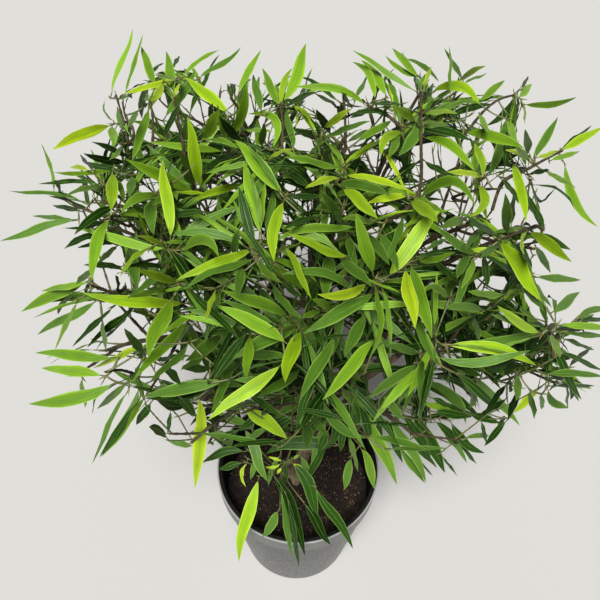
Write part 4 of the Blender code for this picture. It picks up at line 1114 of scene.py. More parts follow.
def crown_mass(centre, centres, carrier):
    """Mass of the crown, in a cell between its neighbours'; its leaves hang more the lower it is."""
    planes = cell_of(centre, centres)
    level = (centre.z - CROWN_CENTRE.z) / CROWN_REACH.z
    aim = CROWN_CENTRE.lerp(centre, STEM_SHARE / max(crown_share(centre), CORE_SHARE))
    return Mass(*tip_of(carrier), aim=aim, hang=LEAF_HANG - LEAF_HANG_FALL * level,
                twig_holds=within_crown_cell(planes, TWIG_SHARE))


def front_mass(carrier):
    """Low shoot's mass, whose leaves are all placed by sight."""
    return Mass(*tip_of(carrier), aim=FRONT_SHOOT_TIP, twig_holds=within_front_shoot,
                twig_count=FRONT_SHOOT_TWIGS, twig_lengths=FRONT_SHOOT_TWIG_LENGTHS)


def plan_masses(trunk, boughs):
    """Every mass with its seeded chance and its stem, by name."""
    centres = mass_centres()
    masses = {}
    for name, centre in centres:
        masses[name] = crown_mass(centre, centres, boughs.get(name, trunk))
    masses["front_shoot"] = front_mass(boughs["front_shoot"])
    for number, mass in enumerate(masses.values()):
        mass.chance = random.Random(SEED + number)
        mass.stem = stem_of(mass)
    return masses


def block_masses(masses, limbs):
    """What each mass's twigs keep clear of: every limb, and the other masses' stems."""
    limb_trees = [BVHTree.FromPolygons(*skin_of(limb, LIMB_CLEARANCE)) for limb in limbs]
    stem_trees = {}
    for name, mass in masses.items():
        stem = Limb(*mass.stem, TWIG_SIDES)
        stem_trees[name] = BVHTree.FromPolygons(*skin_of(stem, LIMB_CLEARANCE))
    for name, mass in masses.items():
        mass.blockers = limb_trees + [stem_trees[other] for other in masses if other != name]


# Finer wood: shoots on every stem and twig


@dataclass
class Wood:
    """A stem, twig or shoot: its path, its thickness at both ends, and how new and how lit it is from 0 to 1,
    which tints its leaves partly as painted light and shade.
    """
    kind: str
    path: list
    radii: tuple
    newness_and_light: float
    bare: float
    mass: Mass
    parent: "Wood" = None
    reach: float = 0.0


def share_near(path, place):
    """Share of the way along a path to its ring nearest to a place, rounded up by half a ring."""
    nearest = min(range(len(path)), key=lambda ring: (path[ring] - place).length)
    return min(1.0, (nearest + 0.5) / (len(path) - 1))


def path_length(path):
    return sum((after - before).length for before, after in zip(path, path[1:]))


def outer_share(place):
    """How new and how lit growth is at a place: most at the crown's top and outer side, least deep inside it;
    the leaves' tints follow it, partly as painted light and shade.
    """
    offset = place - CROWN_CENTRE
    high = 0.5 + 0.5 * max(-1.0, min(1.0, offset.z / CROWN_REACH.z))
    return min(1.0, NEW_AND_LIT_BY_HEIGHT * high + NEW_AND_LIT_BY_REACH * crown_share(place))


def high_share(place):
    """0 at the crown's low leaves and 1 at its high ones."""
    return max(0.0, min(1.0, (place.z - LEAF_LOW) / (LEAF_HIGH - LEAF_LOW)))


def leafy_share(place):
    """As crown_share, on the narrower box that all but the stray leaves keep to."""
    offset = place - CROWN_CENTRE - LEAFY_SHIFT
    return crown_share(CROWN_CENTRE + Vector([length / pull for length, pull in zip(offset, LEAFY_REACH)]))


def shoots_on(wood, limbs_tree, chance):
    """Finer shoots along a stem or twig, turned by the golden angle and rising to the light."""
    length = path_length(wood.path)
    count = int(length * (1.0 - SHOOT_FIRST) / SHOOT_SPACING)
    bearing = chance.uniform(0.0, FULL_TURN)
    shoots = []
    for number in range(count):
        share = SHOOT_FIRST + (1.0 - SHOOT_FIRST) * (number + 0.5) / count
        bearing += GOLDEN_ANGLE
        root, heading = place_along(wood.path, share)
        for attempt in range(SHOOT_TRIES):
            outward = branching(heading, bearing + swing(chance) * TWIG_TURN_STEP * attempt,
                                chance.uniform(*SHOOT_SPREAD))
            reach = chance.uniform(*SHOOT_LENGTHS) * (1.0 - TWIG_SHORTER_STEP * attempt)
            rise = Vector((0.0, 0.0, share_between(SHOOT_RISES, high_share(root)) * reach))
            path = bent_path(root, root + outward * reach * 0.5, root + outward * reach + rise, FINE_RINGS)
            clear = path[SHOOT_ROOT_RINGS:]
            shape = tube(clear, tapering(SHOOT_WOOD_RADII, len(clear)), TWIG_SIDES)
            column, row = pixel_of(path[-1])
            inside = leafy_share(path[-1]) < SHOOT_SHARE and height_over_front(path[-1]) > 0.0
            inside = inside and SHOOT_COLUMNS[0] < column < SHOOT_COLUMNS[1]
            if inside and not BVHTree.FromPolygons(*shape).overlap(limbs_tree):
                shoots.append(Wood("shoot", path, SHOOT_WOOD_RADII, outer_share(path[-1]), SHOOT_BARE,
                                   wood.mass, wood))
                break
    return shoots


def tree_of(shapes):
    """One search tree round many shapes."""
    heap = Heap()
    for vertices, faces in shapes:
        heap.add(vertices, faces)
    return BVHTree.FromPolygons(heap.vertices, heap.faces)


def grow_wood(masses, limbs):
    """Every stem and twig of the source's rule, and the finer shoots on them."""
    limbs_tree = tree_of([skin_of(limb, LIMB_CLEARANCE) for limb in limbs])
    woods = []
    for number, (name, mass) in enumerate(masses.items()):
        centres, _ = mass.stem
        radii = (mass.radius, STEM_END_RADIUS)
        stem = Wood("stem", centres, radii, outer_share(centres[-1]), STEM_BARE, mass)
        grown = [stem]
        for guide in side_twigs(centres, mass):
            path = bent_path(*guide, FINE_RINGS)
            grown.append(Wood("twig", path, TWIG_WOOD_RADII, outer_share(path[-1]), TWIG_BARE, mass, stem))
        if name != "front_shoot":
            chance = random.Random(SEED + SHOOT_SEED + number)
            for wood in list(grown):
                grown += shoots_on(wood, limbs_tree, chance)
        woods += grown
    return woods


# Leaves


def leaf_half_width(share):
    """Half-width of a leaf at a share of its length, as a share of its widest half-width."""
    widest = LEAF_BASE_POWER / (LEAF_BASE_POWER + LEAF_TIP_POWER)
    base = (share / widest) ** LEAF_BASE_POWER
    return base * ((1.0 - share) / (1.0 - widest)) ** LEAF_TIP_POWER


LEAF_HALF_WIDTHS = [leaf_half_width(share) for share in LEAF_STATIONS]


def square_to(face, heading):
    return (face - heading * face.dot(heading)).normalized()


def leaf_spine(base, along, face, length, droop, sweep, twist):
    """(centre, heading, face) at each station of a leaf, which bends down as it goes."""
    heading = along.copy()
    face = square_to(face, heading)
    place = base.copy()
    spine = [(place.copy(), heading.copy(), face.copy())]
    for before, share in zip(LEAF_STATIONS, LEAF_STATIONS[1:]):
        step = share - before
        bend = heading.cross(Vector((0.0, 0.0, -1.0)))
        turn = Quaternion(face, math.radians(sweep) * step) @ Quaternion(heading, math.radians(twist) * step)
        if bend.length > 0.0:
            turn = turn @ Quaternion(bend.normalized(), math.radians(droop) * step * bend.length)
        heading = (turn @ heading).normalized()
        face = square_to(turn @ face, heading)
        place = place + heading * length * step
        spine.append((place.copy(), heading.copy(), face.copy()))
    return spine


def leaf_proxy(spine, width):
    """Few-sided strip in a leaf's outline, for testing what it crosses."""
    vertices = [spine[0][0]]
    for station in PROXY_STATIONS:
        centre, heading, face = spine[station]
        side = face.cross(heading) * width * 0.5 * LEAF_HALF_WIDTHS[station]
        vertices += [centre - side, centre + side]
    vertices.append(spine[-1][0])
    faces = [(0, 1, 2)]
    for pair in range(1, len(vertices) - 3, 2):
        faces.append((pair, pair + 2, pair + 3, pair + 1))
    faces.append((len(vertices) - 3, len(vertices) - 1, len(vertices) - 2))
    return vertices, faces


def leaf_inside(spine, stray):
    """True where a leaf keeps to the crown's reach and clears the pot."""
    places = [spine[station][0] for station in PROXY_STATIONS] + [spine[-1][0]]
    for place in places:
        share = crown_share(place) / STRAY_TIP_SHARE if stray else leafy_share(place)
        if share > 1.0 or height_over_front(place) < 0.0:
            return False
    return way_clear_of_pot(places)


def camera_axes():
    """Right, down and forward of the photograph's camera."""
    pitch = math.radians(CAMERA_PITCH)
    roll = math.radians(CAMERA_ROLL)
    forward = Vector((0.0, math.cos(pitch), -math.sin(pitch)))
    level = Vector((1.0, 0.0, 0.0))
    down = forward.cross(level)
    right = level * math.cos(roll) + down * math.sin(roll)
    return right, down * math.cos(roll) - level * math.sin(roll), forward


CAMERA_AXES = camera_axes()


def leaf_form(foot, heading, turn, spread, mass, young, size, chance):
    """One leaf's shape, at an angle to its twig, hanging by its own weight."""
    along = branching(heading, turn, spread + swing(chance) * LEAF_OPENING)
    high = high_share(foot)
    hang = mass.hang + LOW_LEAF_HANG * (1.0 - high)
    along.z -= hang * chance.uniform(*LEAF_HANG_SIZES) * (1.0 - YOUNG_LIFT * young)
    along.z += LEAF_LIGHTWARD * high
    along.normalize()
    face = turned_about(Vector((0.0, 0.0, 1.0)) + heading * LEAF_FACE_LEAN, along, swing(chance) * LEAF_ROLL)
    size = size * (1.0 - YOUNG_SHRINK * young)
    length = chance.uniform(*range_at(LOW_LEAF_LENGTHS, HIGH_LEAF_LENGTHS, high)) * size
    width = chance.uniform(*range_at(LOW_LEAF_WIDTHS, HIGH_LEAF_WIDTHS, high)) * size
    droop = chance.uniform(*LEAF_DROOP) * (1.0 - YOUNG_LIFT * young)
    if chance.random() < CURL_CHANCE:
        droop *= CURL_DROOP
    base = foot + along * chance.uniform(*STALK_LENGTHS)
    spine = leaf_spine(base, along, face, length, droop,
                       swing(chance) * LEAF_SWEEP, swing(chance) * LEAF_TWIST)
    return Leaf(foot, spine, width, chance.uniform(*LEAF_FOLD), chance.uniform(0.0, math.tau))


def middle_of(leaf):
    return leaf.spine[len(leaf.spine) // 2][0]


def try_leaf(foot, heading, bearing, spread, mass, young, chance, blockers, crowd, mask):
    """One leaf on a stalk from its foot on the twig, or None where no try at it fits."""
    for attempt in range(LEAF_TRIES):
        loosen = attempt / LEAF_TRIES
        turn = bearing + swing(chance) * (LEAF_TURN[0] + LEAF_TURN[1] * loosen)
        leaf = leaf_form(foot, heading, turn, spread, mass, young, 1.0 - LEAF_SMALLER * loosen, chance)
        leaf.width *= 1.0 - LEAF_NARROWER * loosen
        if not leaf_inside(leaf.spine, chance.random() < STRAY_CHANCE) or not shows_inside(leaf, mask):
            continue
        tree = BVHTree.FromPolygons(*leaf_proxy(leaf.spine, leaf.width))
        if any(tree.overlap(blocker) for blocker in blockers):
            continue
        if any(tree.overlap(other) for other in crowd.near(middle_of(leaf))):
            continue
        crowd.add(middle_of(leaf), tree)
        return leaf
    return None


def picture_mask(openings):
    """Pixels where wood and other leaves may show: inside the crown's edge and outside openings."""
    rows, columns = numpy.mgrid[0:int(PICTURE), 0:int(PICTURE)]
    inside = numpy.zeros(rows.shape, dtype=bool)
    for (first_x, first_y), (last_x, last_y) in zip(CROWN_EDGE, CROWN_EDGE[1:] + CROWN_EDGE[:1]):
        if first_y != last_y:
            level = (rows >= min(first_y, last_y)) & (rows < max(first_y, last_y))
            crossing = first_x + (rows - first_y) * (last_x - first_x) / (last_y - first_y)
            inside ^= level & (columns < crossing)
    for middle_x, middle_y, wide, high in openings:
        inside &= ((columns - middle_x) / wide) ** 2 + ((rows - middle_y) / high) ** 2 > 1.0
    return inside


def pixel_of(place):
    """Column and row of a place in the picture."""
    right, down, forward = CAMERA_AXES
    offset = place - CAMERA_PLACE
    depth = offset.dot(forward)
    middle = PICTURE * 0.5
    return int(middle + FOCAL * offset.dot(right) / depth), int(middle + FOCAL * offset.dot(down) / depth)


def shows_inside(leaf, mask):
    """True where the whole leaf shows on allowed pixels of the picture."""
    last = len(mask) - 1
    for station in SIGHT_STATIONS:
        centre, heading, face = leaf.spine[station]
        side = face.cross(heading) * leaf.width * 0.5 * LEAF_HALF_WIDTHS[station]
        for place in (centre - side, centre, centre + side):
            column, row = pixel_of(place)
            if not (0 <= column <= last and 0 <= row <= last and mask[row, column]):
                return False
    return True


def tint_of(shade, young, chance):
    """Tint by how new and how lit the growth is: the new leaves at a shoot's tip are the lightest, and leaves
    high and outside are lighter partly as painted light.
    """
    age_and_light = shade + TINT_YOUNG * young + swing(chance) * TINT_LEAF_STRAY
    for number, (_, _, _, limit, _) in enumerate(TINTS):
        if age_and_light < limit:
            return number
    return len(TINTS) - 1


def leaf_shares(wood):
    """Places of the leaves along a twig, closer together at its tip."""
    length = path_length(wood.path)
    first = max(LEAF_FIRST, wood.bare * length)
    spacing = share_between(LEAF_SPACINGS, high_share(wood.path[-1]))
    count = max(0, int((length - first) / spacing))
    shares = [min(TIP_PLACE, (first + spacing * number) / length) for number in range(count)]
    return shares + [TIP_PLACE - TIP_SPACING * number / length for number in range(TIP_LEAVES)]


def grow_leaves(woods, wood_tree, crowd, veils):
    """Every other leaf with the number of its tint; none crosses or hides one that is placed by sight."""
    mask = picture_mask(OPENINGS)
    leaves = []
    for number, wood in enumerate(woods):
        if wood.mass.twig_holds is within_front_shoot:
            continue
        chance = random.Random(SEED + LEAF_SEED + number)
        bearing = chance.uniform(0.0, FULL_TURN)
        shade = TINT_NEWNESS_AND_LIGHT * wood.newness_and_light ** TINT_CURVE - TINT_BASE + swing(chance) * TINT_SPRAY_STRAY
        for share in leaf_shares(wood):
            foot, heading = place_along(wood.path, share)
            young = max(0.0, share * 2.0 - 1.0)
            bearing += GOLDEN_ANGLE
            leaf = try_leaf(foot, heading, bearing, share_between(LEAF_SPREAD, share), wood.mass, young,
                            chance, (wood_tree, veils), crowd, mask)
            if leaf:
                wood.reach = max(wood.reach, share)
                leaves.append((leaf, tint_of(shade, young, chance)))
    return leaves


def clip_woods(woods, edge):
    """Wood only as far as it shows inside the crown's edge in the picture, and only what grows from it."""
    kept = []
    lost = set()
    for wood in woods:
        path = finer_path(wood.path)
        inside = 0
        for place in path:
            column, row = pixel_of(place)
            if not edge[row, column]:
                break
            inside += 1
        if inside < LEAST_RINGS or id(wood.parent) in lost:
            lost.add(id(wood))
            continue
        wood.path = path[:inside]
        kept.append(wood)
    return kept


def trim_woods(woods):
    """Wood cut back to the last leaf or shoot that it carries, in the order from parent to child."""
    for wood in reversed(woods):
        if wood.reach and wood.parent:
            wood.parent.reach = max(wood.parent.reach, share_near(wood.parent.path, wood.path[0]))
    kept = [wood for wood in woods if wood.reach]
    for wood in kept:
        path = finer_path(wood.path)
        rings = max(LEAST_RINGS, math.ceil(wood.reach * (len(path) - 1)) + 1)
        wood.radii = (wood.radii[0], share_between(wood.radii, wood.reach))
        wood.path = path[:rings]
    return kept


# Leaves that the photograph shows plainly, rooted on the nearest twig


def ray_through(pixel):
    """Direction of a pixel's line of sight, one long along the camera's own direction."""
    right, down, forward = CAMERA_AXES
    across = (pixel[0] - PICTURE * 0.5) / FOCAL
    below = (pixel[1] - PICTURE * 0.5) / FOCAL
    return forward + right * across + down * below


def seen_at(pixel, depth):
    return CAMERA_PLACE + ray_through(pixel) * depth


def depth_at_height(pixel, height):
    return (height - CAMERA_PLACE.z) / ray_through(pixel).z


def depth_at_share(pixel, share):
    """Depth where a line of sight enters the crown to a share of its reach, or comes nearest to it."""
    depth = SIGHT_NEAR
    nearest = (math.inf, SIGHT_NEAR)
    while depth < SIGHT_FAR:
        here = crown_share(seen_at(pixel, depth))
        if here <= share:
            return depth
        nearest = min(nearest, (here, depth))
        depth += SIGHT_STEP
    return nearest[1]


def seen_foot(pixel, height, samples):
    """Place of a leaf's foot on a line of sight, near the crown's outside and near some wood."""
    target = depth_at_height(pixel, height) if height else depth_at_share(pixel, FOOT_SHARE)
    best = None
    for step in range(FOOT_DEPTHS):
        depth = target + FOOT_DEPTH_STEP * step
        place = seen_at(pixel, depth)
        _, index, distance = samples.find(place)
        cost = distance + FOOT_DEPTH_COST * (depth - target)
        if best is None or cost < best[0]:
            best = (cost, place, depth, index)
        if height:
            break
    return best[1:]


def seen_tip(pixel, height, foot, depth, length):
    """Place of a leaf's tip on a line of sight: about a leaf's length off, towards the outside."""
    if height:
        return seen_at(pixel, depth_at_height(pixel, height))
    best = None
    for step in range(-TIP_DEPTHS, TIP_DEPTHS + 1):
        place = seen_at(pixel, depth + TIP_DEPTH_STEP * step)
        cost = abs((place - foot).length - length) + TIP_SHARE_COST * abs(crown_share(place) - TIP_SHARE)
        if best is None or cost < best[0]:
            best = (cost, place)
    return best[1]


def seen_spine(foot, tip, bow, sway, tilt, lean, arch):
    """Stations of a leaf between two places: arched, bowed and swayed, and tilted towards the sky."""
    along = tip - foot
    base = foot + along.normalized() * SEEN_STALK
    sight = (foot.lerp(tip, 0.5) - CAMERA_PLACE).normalized()
    aside = along.cross(sight)
    middle = base.lerp(tip, SEEN_BOW_PLACE) + aside * bow * 2.0 - sight * arch * along.length
    face = square_to(-sight, along.normalized())
    lit = turned_about(face, along.normalized(), tilt).z + lean * SEEN_EITHER_WAY
    if lit < turned_about(face, along.normalized(), -tilt).z:
        tilt = -tilt
    tilt += lean * SEEN_TILT
    spine = []
    for share in LEAF_STATIONS:
        near = base.lerp(middle, share)
        far = middle.lerp(tip, share)
        centre = near.lerp(far, share) + aside * math.sin(math.tau * share) * sway
        turning = aside * math.cos(math.tau * share) * math.tau * sway
        heading = ((far - near) * 2.0 + turning).normalized()
        face = square_to(CAMERA_PLACE - centre, heading)
        spine.append((centre, heading, turned_about(face, heading, tilt)))
    return spine


def seen_link(root, foot):
    """Fine shoot from the wood at its root out to the foot of a leaf."""
    middle = root.lerp(foot, 0.5)
    middle.z -= LINK_SAG * (foot - root).length
    return bent_path(root, middle, foot, FINE_RINGS)


def veil_of(leaf):
    """Strip from a leaf towards the camera, which other leaves keep out of."""
    vertices = []
    for centre, _, _ in leaf.spine:
        nearer = (CAMERA_PLACE - centre).normalized()
        vertices += [centre + nearer * VEIL_START, centre + nearer * VEIL_END]
    rows = range(0, len(vertices) - 2, 2)
    return vertices, [(row, row + 2, row + 3, row + 1) for row in rows]


def smooth_path(points):
    """Smooth curve through points: a cubic between each pair, steered by the points on either side."""
    path = [points[0]]
    last = len(points) - 1
    for number in range(last):
        before, start = points[max(number - 1, 0)], points[number]
        end, after = points[number + 1], points[min(number + 2, last)]
        for step in range(1, SEEN_TWIG_STEPS + 1):
            share = step / SEEN_TWIG_STEPS
            bend = before * 2.0 - start * 5.0 + end * 4.0 - after
            curl = start * 3.0 - before - end * 3.0 + after
            path.append((start * 2.0 + (end - before) * share + bend * share ** 2 + curl * share ** 3) * 0.5)
    return path


def place_seen_twigs(woods):
    """Twigs by where the photograph shows them, each growing from the nearest wood."""
    samples, places = wood_samples(woods)
    for pixels in SEEN_TWIGS:
        _, first_depth, index = seen_foot(pixels[0], 0.0, samples)
        depths = (first_depth, depth_at_share(pixels[-1], SEEN_TWIG_SHARE))
        root, wood = places[index]
        points = [root]
        for number, pixel in enumerate(pixels):
            points.append(seen_at(pixel, share_between(depths, number / (len(pixels) - 1))))
        path = smooth_path(points)
        woods.append(Wood("twig", path, TWIG_WOOD_RADII, outer_share(path[-1]), TWIG_BARE, wood.mass, wood))


def wood_samples(woods):
    """Places along the wood for finding the nearest, and the wood that each is on."""
    places = [(place, wood) for wood in woods for place in wood.path[1:]]
    samples = KDTree(len(places))
    for number, (place, _) in enumerate(places):
        samples.insert(place, number)
    samples.balance()
    return samples, places


def seen_leaf(row, shift, lean, sway, shape, samples):
    """One leaf by sight, moved back by a shift, and the number of the nearest place on the wood."""
    foot_x, foot_y, tip_x, tip_y, width, bow, foot_height, tip_height = row + SEEN_REST[len(row) - 5:]
    foot, depth, _ = seen_foot((foot_x, foot_y), foot_height, samples)
    high = high_share(foot)
    _, natural = range_at(LOW_LEAF_LENGTHS, HIGH_LEAF_LENGTHS, high)
    tip = seen_tip((tip_x, tip_y), tip_height, foot, depth, natural)
    if foot_height:
        shift = 0.0
    foot = seen_at((foot_x, foot_y), depth + shift)
    tip = tip + (tip - CAMERA_PLACE).normalized() * shift
    _, index, _ = samples.find(foot)
    narrowest, _ = range_at(LOW_LEAF_WIDTHS, HIGH_LEAF_WIDTHS, high)
    full_width = min(narrowest, (tip - foot).length / SEEN_SLIMNESS)
    across = width * depth / FOCAL
    tilt = min(SEEN_MOST_TILT, math.degrees(math.acos(min(1.0, across / full_width))))
    arch, fold, phase = shape
    spine = seen_spine(foot, tip, bow, sway, tilt, lean, arch)
    return Leaf(foot, spine, max(across, full_width), fold, phase), index


def place_seen_leaves(woods):
    """Leaves by where the photograph shows feet and tips, each moved back until it crosses none before it."""
    chance = random.Random(SEED + SEEN_SEED)
    leaves = []
    shoots = []
    crowd = Crowd()
    samples, places = wood_samples(woods)
    for tint, rows in SEEN_LEAVES.items():
        for row in rows:
            lean = swing(chance)
            sway = swing(chance) * SEEN_SWAY
            shape = (chance.uniform(*SEEN_ARCH), chance.uniform(*SEEN_FOLD), chance.uniform(0.0, math.tau))
            for attempt in range(SEEN_TRIES):
                shift = SEEN_DEPTHS[tint] + attempt * SEEN_STEP
                leaf, index = seen_leaf(row, shift, lean, sway, shape, samples)
                tree = BVHTree.FromPolygons(*leaf_proxy(leaf.spine, leaf.width))
                if not any(tree.overlap(other) for other in crowd.near(middle_of(leaf))):
                    break
            crowd.add(middle_of(leaf), tree)
            leaves.append((leaf, tint))
            root, wood = places[index]
            if wood.mass.twig_holds is not within_front_shoot:
                for shoot in shoots:
                    if (shoot.path[-1] - leaf.foot).length < (root - leaf.foot).length:
                        root, wood = shoot.path[-1], shoot
            if (root - leaf.foot).length > LINK_LEAST:
                path = seen_link(root, leaf.foot)
                newness_and_light = outer_share(leaf.foot)
                link = Wood("shoot", path, SHOOT_WOOD_RADII, newness_and_light, LINK_BARE, wood.mass, wood, 1.0)
                woods.append(link)
                shoots.append(link)
            else:
                wood.reach = max(wood.reach, share_near(wood.path, root))
    return leaves, crowd, tree_of([veil_of(leaf) for leaf, _ in leaves])


def leaf_blade(leaf):
    """Vertices, faces and surface coordinates of a blade: folded along its rib, with wavy edges."""
    vertices = []
    coordinates = []
    steep = math.sin(math.radians(leaf.fold))
    flat = math.cos(math.radians(leaf.fold))
    for station, (centre, heading, face) in enumerate(leaf.spine):
        share = LEAF_STATIONS[station]
        side = face.cross(heading)
        for across in LEAF_ACROSS:
            uneven = math.sin(math.tau * LEAF_UNEVEN_WAVES * share + leaf.phase * 2.0 + across * 2.0)
            half = leaf.width * 0.5 * LEAF_HALF_WIDTHS[station] * (1.0 + LEAF_UNEVEN * uneven)
            wave = math.sin(math.tau * LEAF_WAVES * share + leaf.phase + across)
            ripple = LEAF_WAVE * abs(across) * wave * LEAF_HALF_WIDTHS[station]
            rise = half * steep * (abs(across) - EDGE_CURL * across * across)
            vertices.append(centre + side * across * half * flat + face * (rise + ripple))
            coordinates.append((share, 0.5 + 0.5 * across))
    count = len(LEAF_ACROSS)
    faces = []
    for station in range(len(leaf.spine) - 1):
        for column in range(count - 1):
            low = station * count + column
            faces.append((low, low + count, low + count + 1, low + 1))
    return vertices, faces, coordinates


def leaf_rib(leaf):
    """Rib along the middle of a blade, proud of it on both faces, narrowing to its tip."""
    vertices = []
    faces = [(0, 1, 2)]
    for station, (centre, heading, face) in enumerate(leaf.spine[:-1]):
        thin = 1.0 - RIB_TAPER * LEAF_STATIONS[station]
        side = face.cross(heading) * RIB_WIDTH * 0.5 * thin
        under = face * RIB_LIFT * thin
        vertices += [centre - side - under, centre + side - under, centre + face * RIB_LIFT * thin]
    rings = len(vertices) // 3
    for row in range(0, len(vertices) - 3, 3):
        for corner in range(3):
            after = (corner + 1) % 3
            faces.append((row + corner, row + 3 + corner, row + 3 + after, row + after))
    last = 3 * rings - 3
    faces.append((last, last + 2, last + 1))
    return vertices, faces


def leaf_stalk(leaf):
    """Stalk that curves from the twig into the blade's base."""
    base, heading, _ = leaf.spine[0]
    middle = base - heading * (base - leaf.foot).length * 0.5
    path = bent_path(leaf.foot, middle, base + heading * STALK_RADIUS, len(STALK_TAPER))
    return tube(path, [STALK_RADIUS * share for share in STALK_TAPER], STALK_SIDES)


# Meshes of the wood


def wood_tube(wood):
    """Tube of a twig, a little thicker at each leaf's foot."""
    rings = len(wood.path)
    bumps = [share / wood.reach for share in leaf_shares(wood)]
    widths = []
    for ring in range(rings):
        share = ring / (rings - 1)
        swollen = max((math.exp(-((share - bump) * NODE_SHARPNESS) ** 2) for bump in bumps), default=0.0)
        widths.append(share_between(wood.radii, share) * (1.0 + NODE_SWELL * swollen))
    return tube(wood.path, widths, WOOD_SIDES)


def finer_path(path):
    """The same path with rings about a small step apart."""
    length = path_length(path)
    rings = max(LEAST_RINGS, int(length / WOOD_STEP) + 1)
    return [place_along(path, ring / (rings - 1))[0] for ring in range(rings)]


def bud_shape(wood):
    """Pointed bud at a shoot's tip."""
    tip, heading = place_along(wood.path, 1.0)
    lean = heading + Vector((0.0, 0.0, BUD_RISE))
    lean.normalize()
    path = [tip + lean * BUD_LENGTH * share for share in BUD_SHARES]
    return tube(path, [BUD_RADIUS * width for width in BUD_WIDTHS], STALK_SIDES)


def limb_surface(limb, rings, sides):
    """Bark-covered limb: grain along it, leaf scars round it, and a swollen foot where it forks."""
    if limb.guide:
        path = bent_path(*limb.guide, rings)
    else:
        path = [trunk_place((ring / (rings - 1)) ** TRUNK_RING_CROWDING) for ring in range(rings)]
    vertices, faces = tube(path, [1.0] * rings, sides)
    travelled = 0.0
    for ring in range(rings):
        share = ring / (rings - 1)
        if ring:
            travelled += (path[ring] - path[ring - 1]).length
        if limb.guide:
            radius = share_between((limb.radii[0], limb.radii[-1]), share)
            radius *= 1.0 + FORK_COLLAR * math.exp(-travelled / FORK_COLLAR_LENGTH)
            flare = 0.0
        else:
            height = share ** TRUNK_RING_CROWDING
            radius = trunk_radius(height)
            flare = max(0.0, 1.0 - height / FLUTE_HEIGHT)
        scar = abs(math.sin(math.pi * travelled / SCAR_SPACING)) ** SCAR_SHARPNESS * SCAR_HEIGHT
        for corner in range(sides):
            index = ring * sides + corner
            outward = (vertices[index] - path[ring]).normalized()
            angle = math.tau * corner / sides
            flute = FLUTE_DEPTH * flare * math.cos(FLUTES * angle)
            grain = noise.noise((path[ring] + outward * radius) * BARK_FINE)
            coarse = noise.noise((path[ring] + outward * radius) * BARK_COARSE)
            depth = BARK_RELIEF * (grain + coarse) * min(1.0, radius / BARK_FULL_RADIUS)
            vertices[index] = path[ring] + outward * (radius * (1.0 + flute) + depth + scar)
    return vertices, faces


def make_bark(trunk, boughs, finish):
    heap = Heap()
    heap.add(*limb_surface(trunk, BARK_TRUNK_RINGS, BARK_TRUNK_SIDES))
    for bough in boughs.values():
        heap.add(*limb_surface(bough, BARK_BOUGH_RINGS, BARK_BOUGH_SIDES))
    nodes = ["trunk"] + ["bough_" + name for name in boughs]
    return add_piece("bark", heap, finish, nodes)


# Pot and filling


def ordered_faces(shape):
    """Faces as their corners' numbers, in the same order each time."""
    shape.verts.index_update()
    faces = [tuple(corner.index for corner in face.verts) for face in shape.faces]
    starts = [face.index(min(face)) for face in faces]
    return sorted(face[start:] + face[:start] for face, start in zip(faces, starts))


def turned(name, profile, finish):
    """Solid of revolution; the profile starts and ends on the axis, or closes on itself."""
    shape = bmesh.new()
    corners = [shape.verts.new((radius, 0.0, height)) for radius, height in profile]
    edges = [shape.edges.new(pair) for pair in zip(corners, corners[1:])]
    bmesh.ops.spin(shape, geom=corners + edges, cent=(0, 0, 0), axis=(0, 0, 1), dvec=(0, 0, 0),
                   angle=math.tau, steps=POT_SEGMENTS, use_merge=True)
    bmesh.ops.remove_doubles(shape, verts=shape.verts, dist=MERGE_DISTANCE)
    bmesh.ops.recalc_face_normals(shape, faces=shape.faces)
    mesh = bpy.data.meshes.new(name)
    mesh.from_pydata([tuple(corner.co) for corner in shape.verts], [], ordered_faces(shape))
    shape.free()
    mesh.materials.append(finish)
    mesh.shade_smooth()
    mesh.set_sharp_from_angle(angle=math.radians(POT_SHARP_ANGLE))
    piece = new_object(name, mesh)
    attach(piece, "root")
    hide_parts("pot")
    return piece


def rounded(corners, radius):
    """Profile with each inner corner replaced by a small arc."""
    profile = [corners[0]]
    for before, corner, after in zip(corners, corners[1:], corners[2:]):
        here = Vector(corner)
        back = Vector(before) - here
        ahead = Vector(after) - here
        cut = min(radius, back.length * ROUND_LIMIT, ahead.length * ROUND_LIMIT)
        start = here + back.normalized() * cut
        end = here + ahead.normalized() * cut
        for step in range(ROUND_STEPS + 1):
            share = step / ROUND_STEPS
            near = start.lerp(here, share)
            profile.append(tuple(near.lerp(here.lerp(end, share), share)))
    return profile + [corners[-1]]


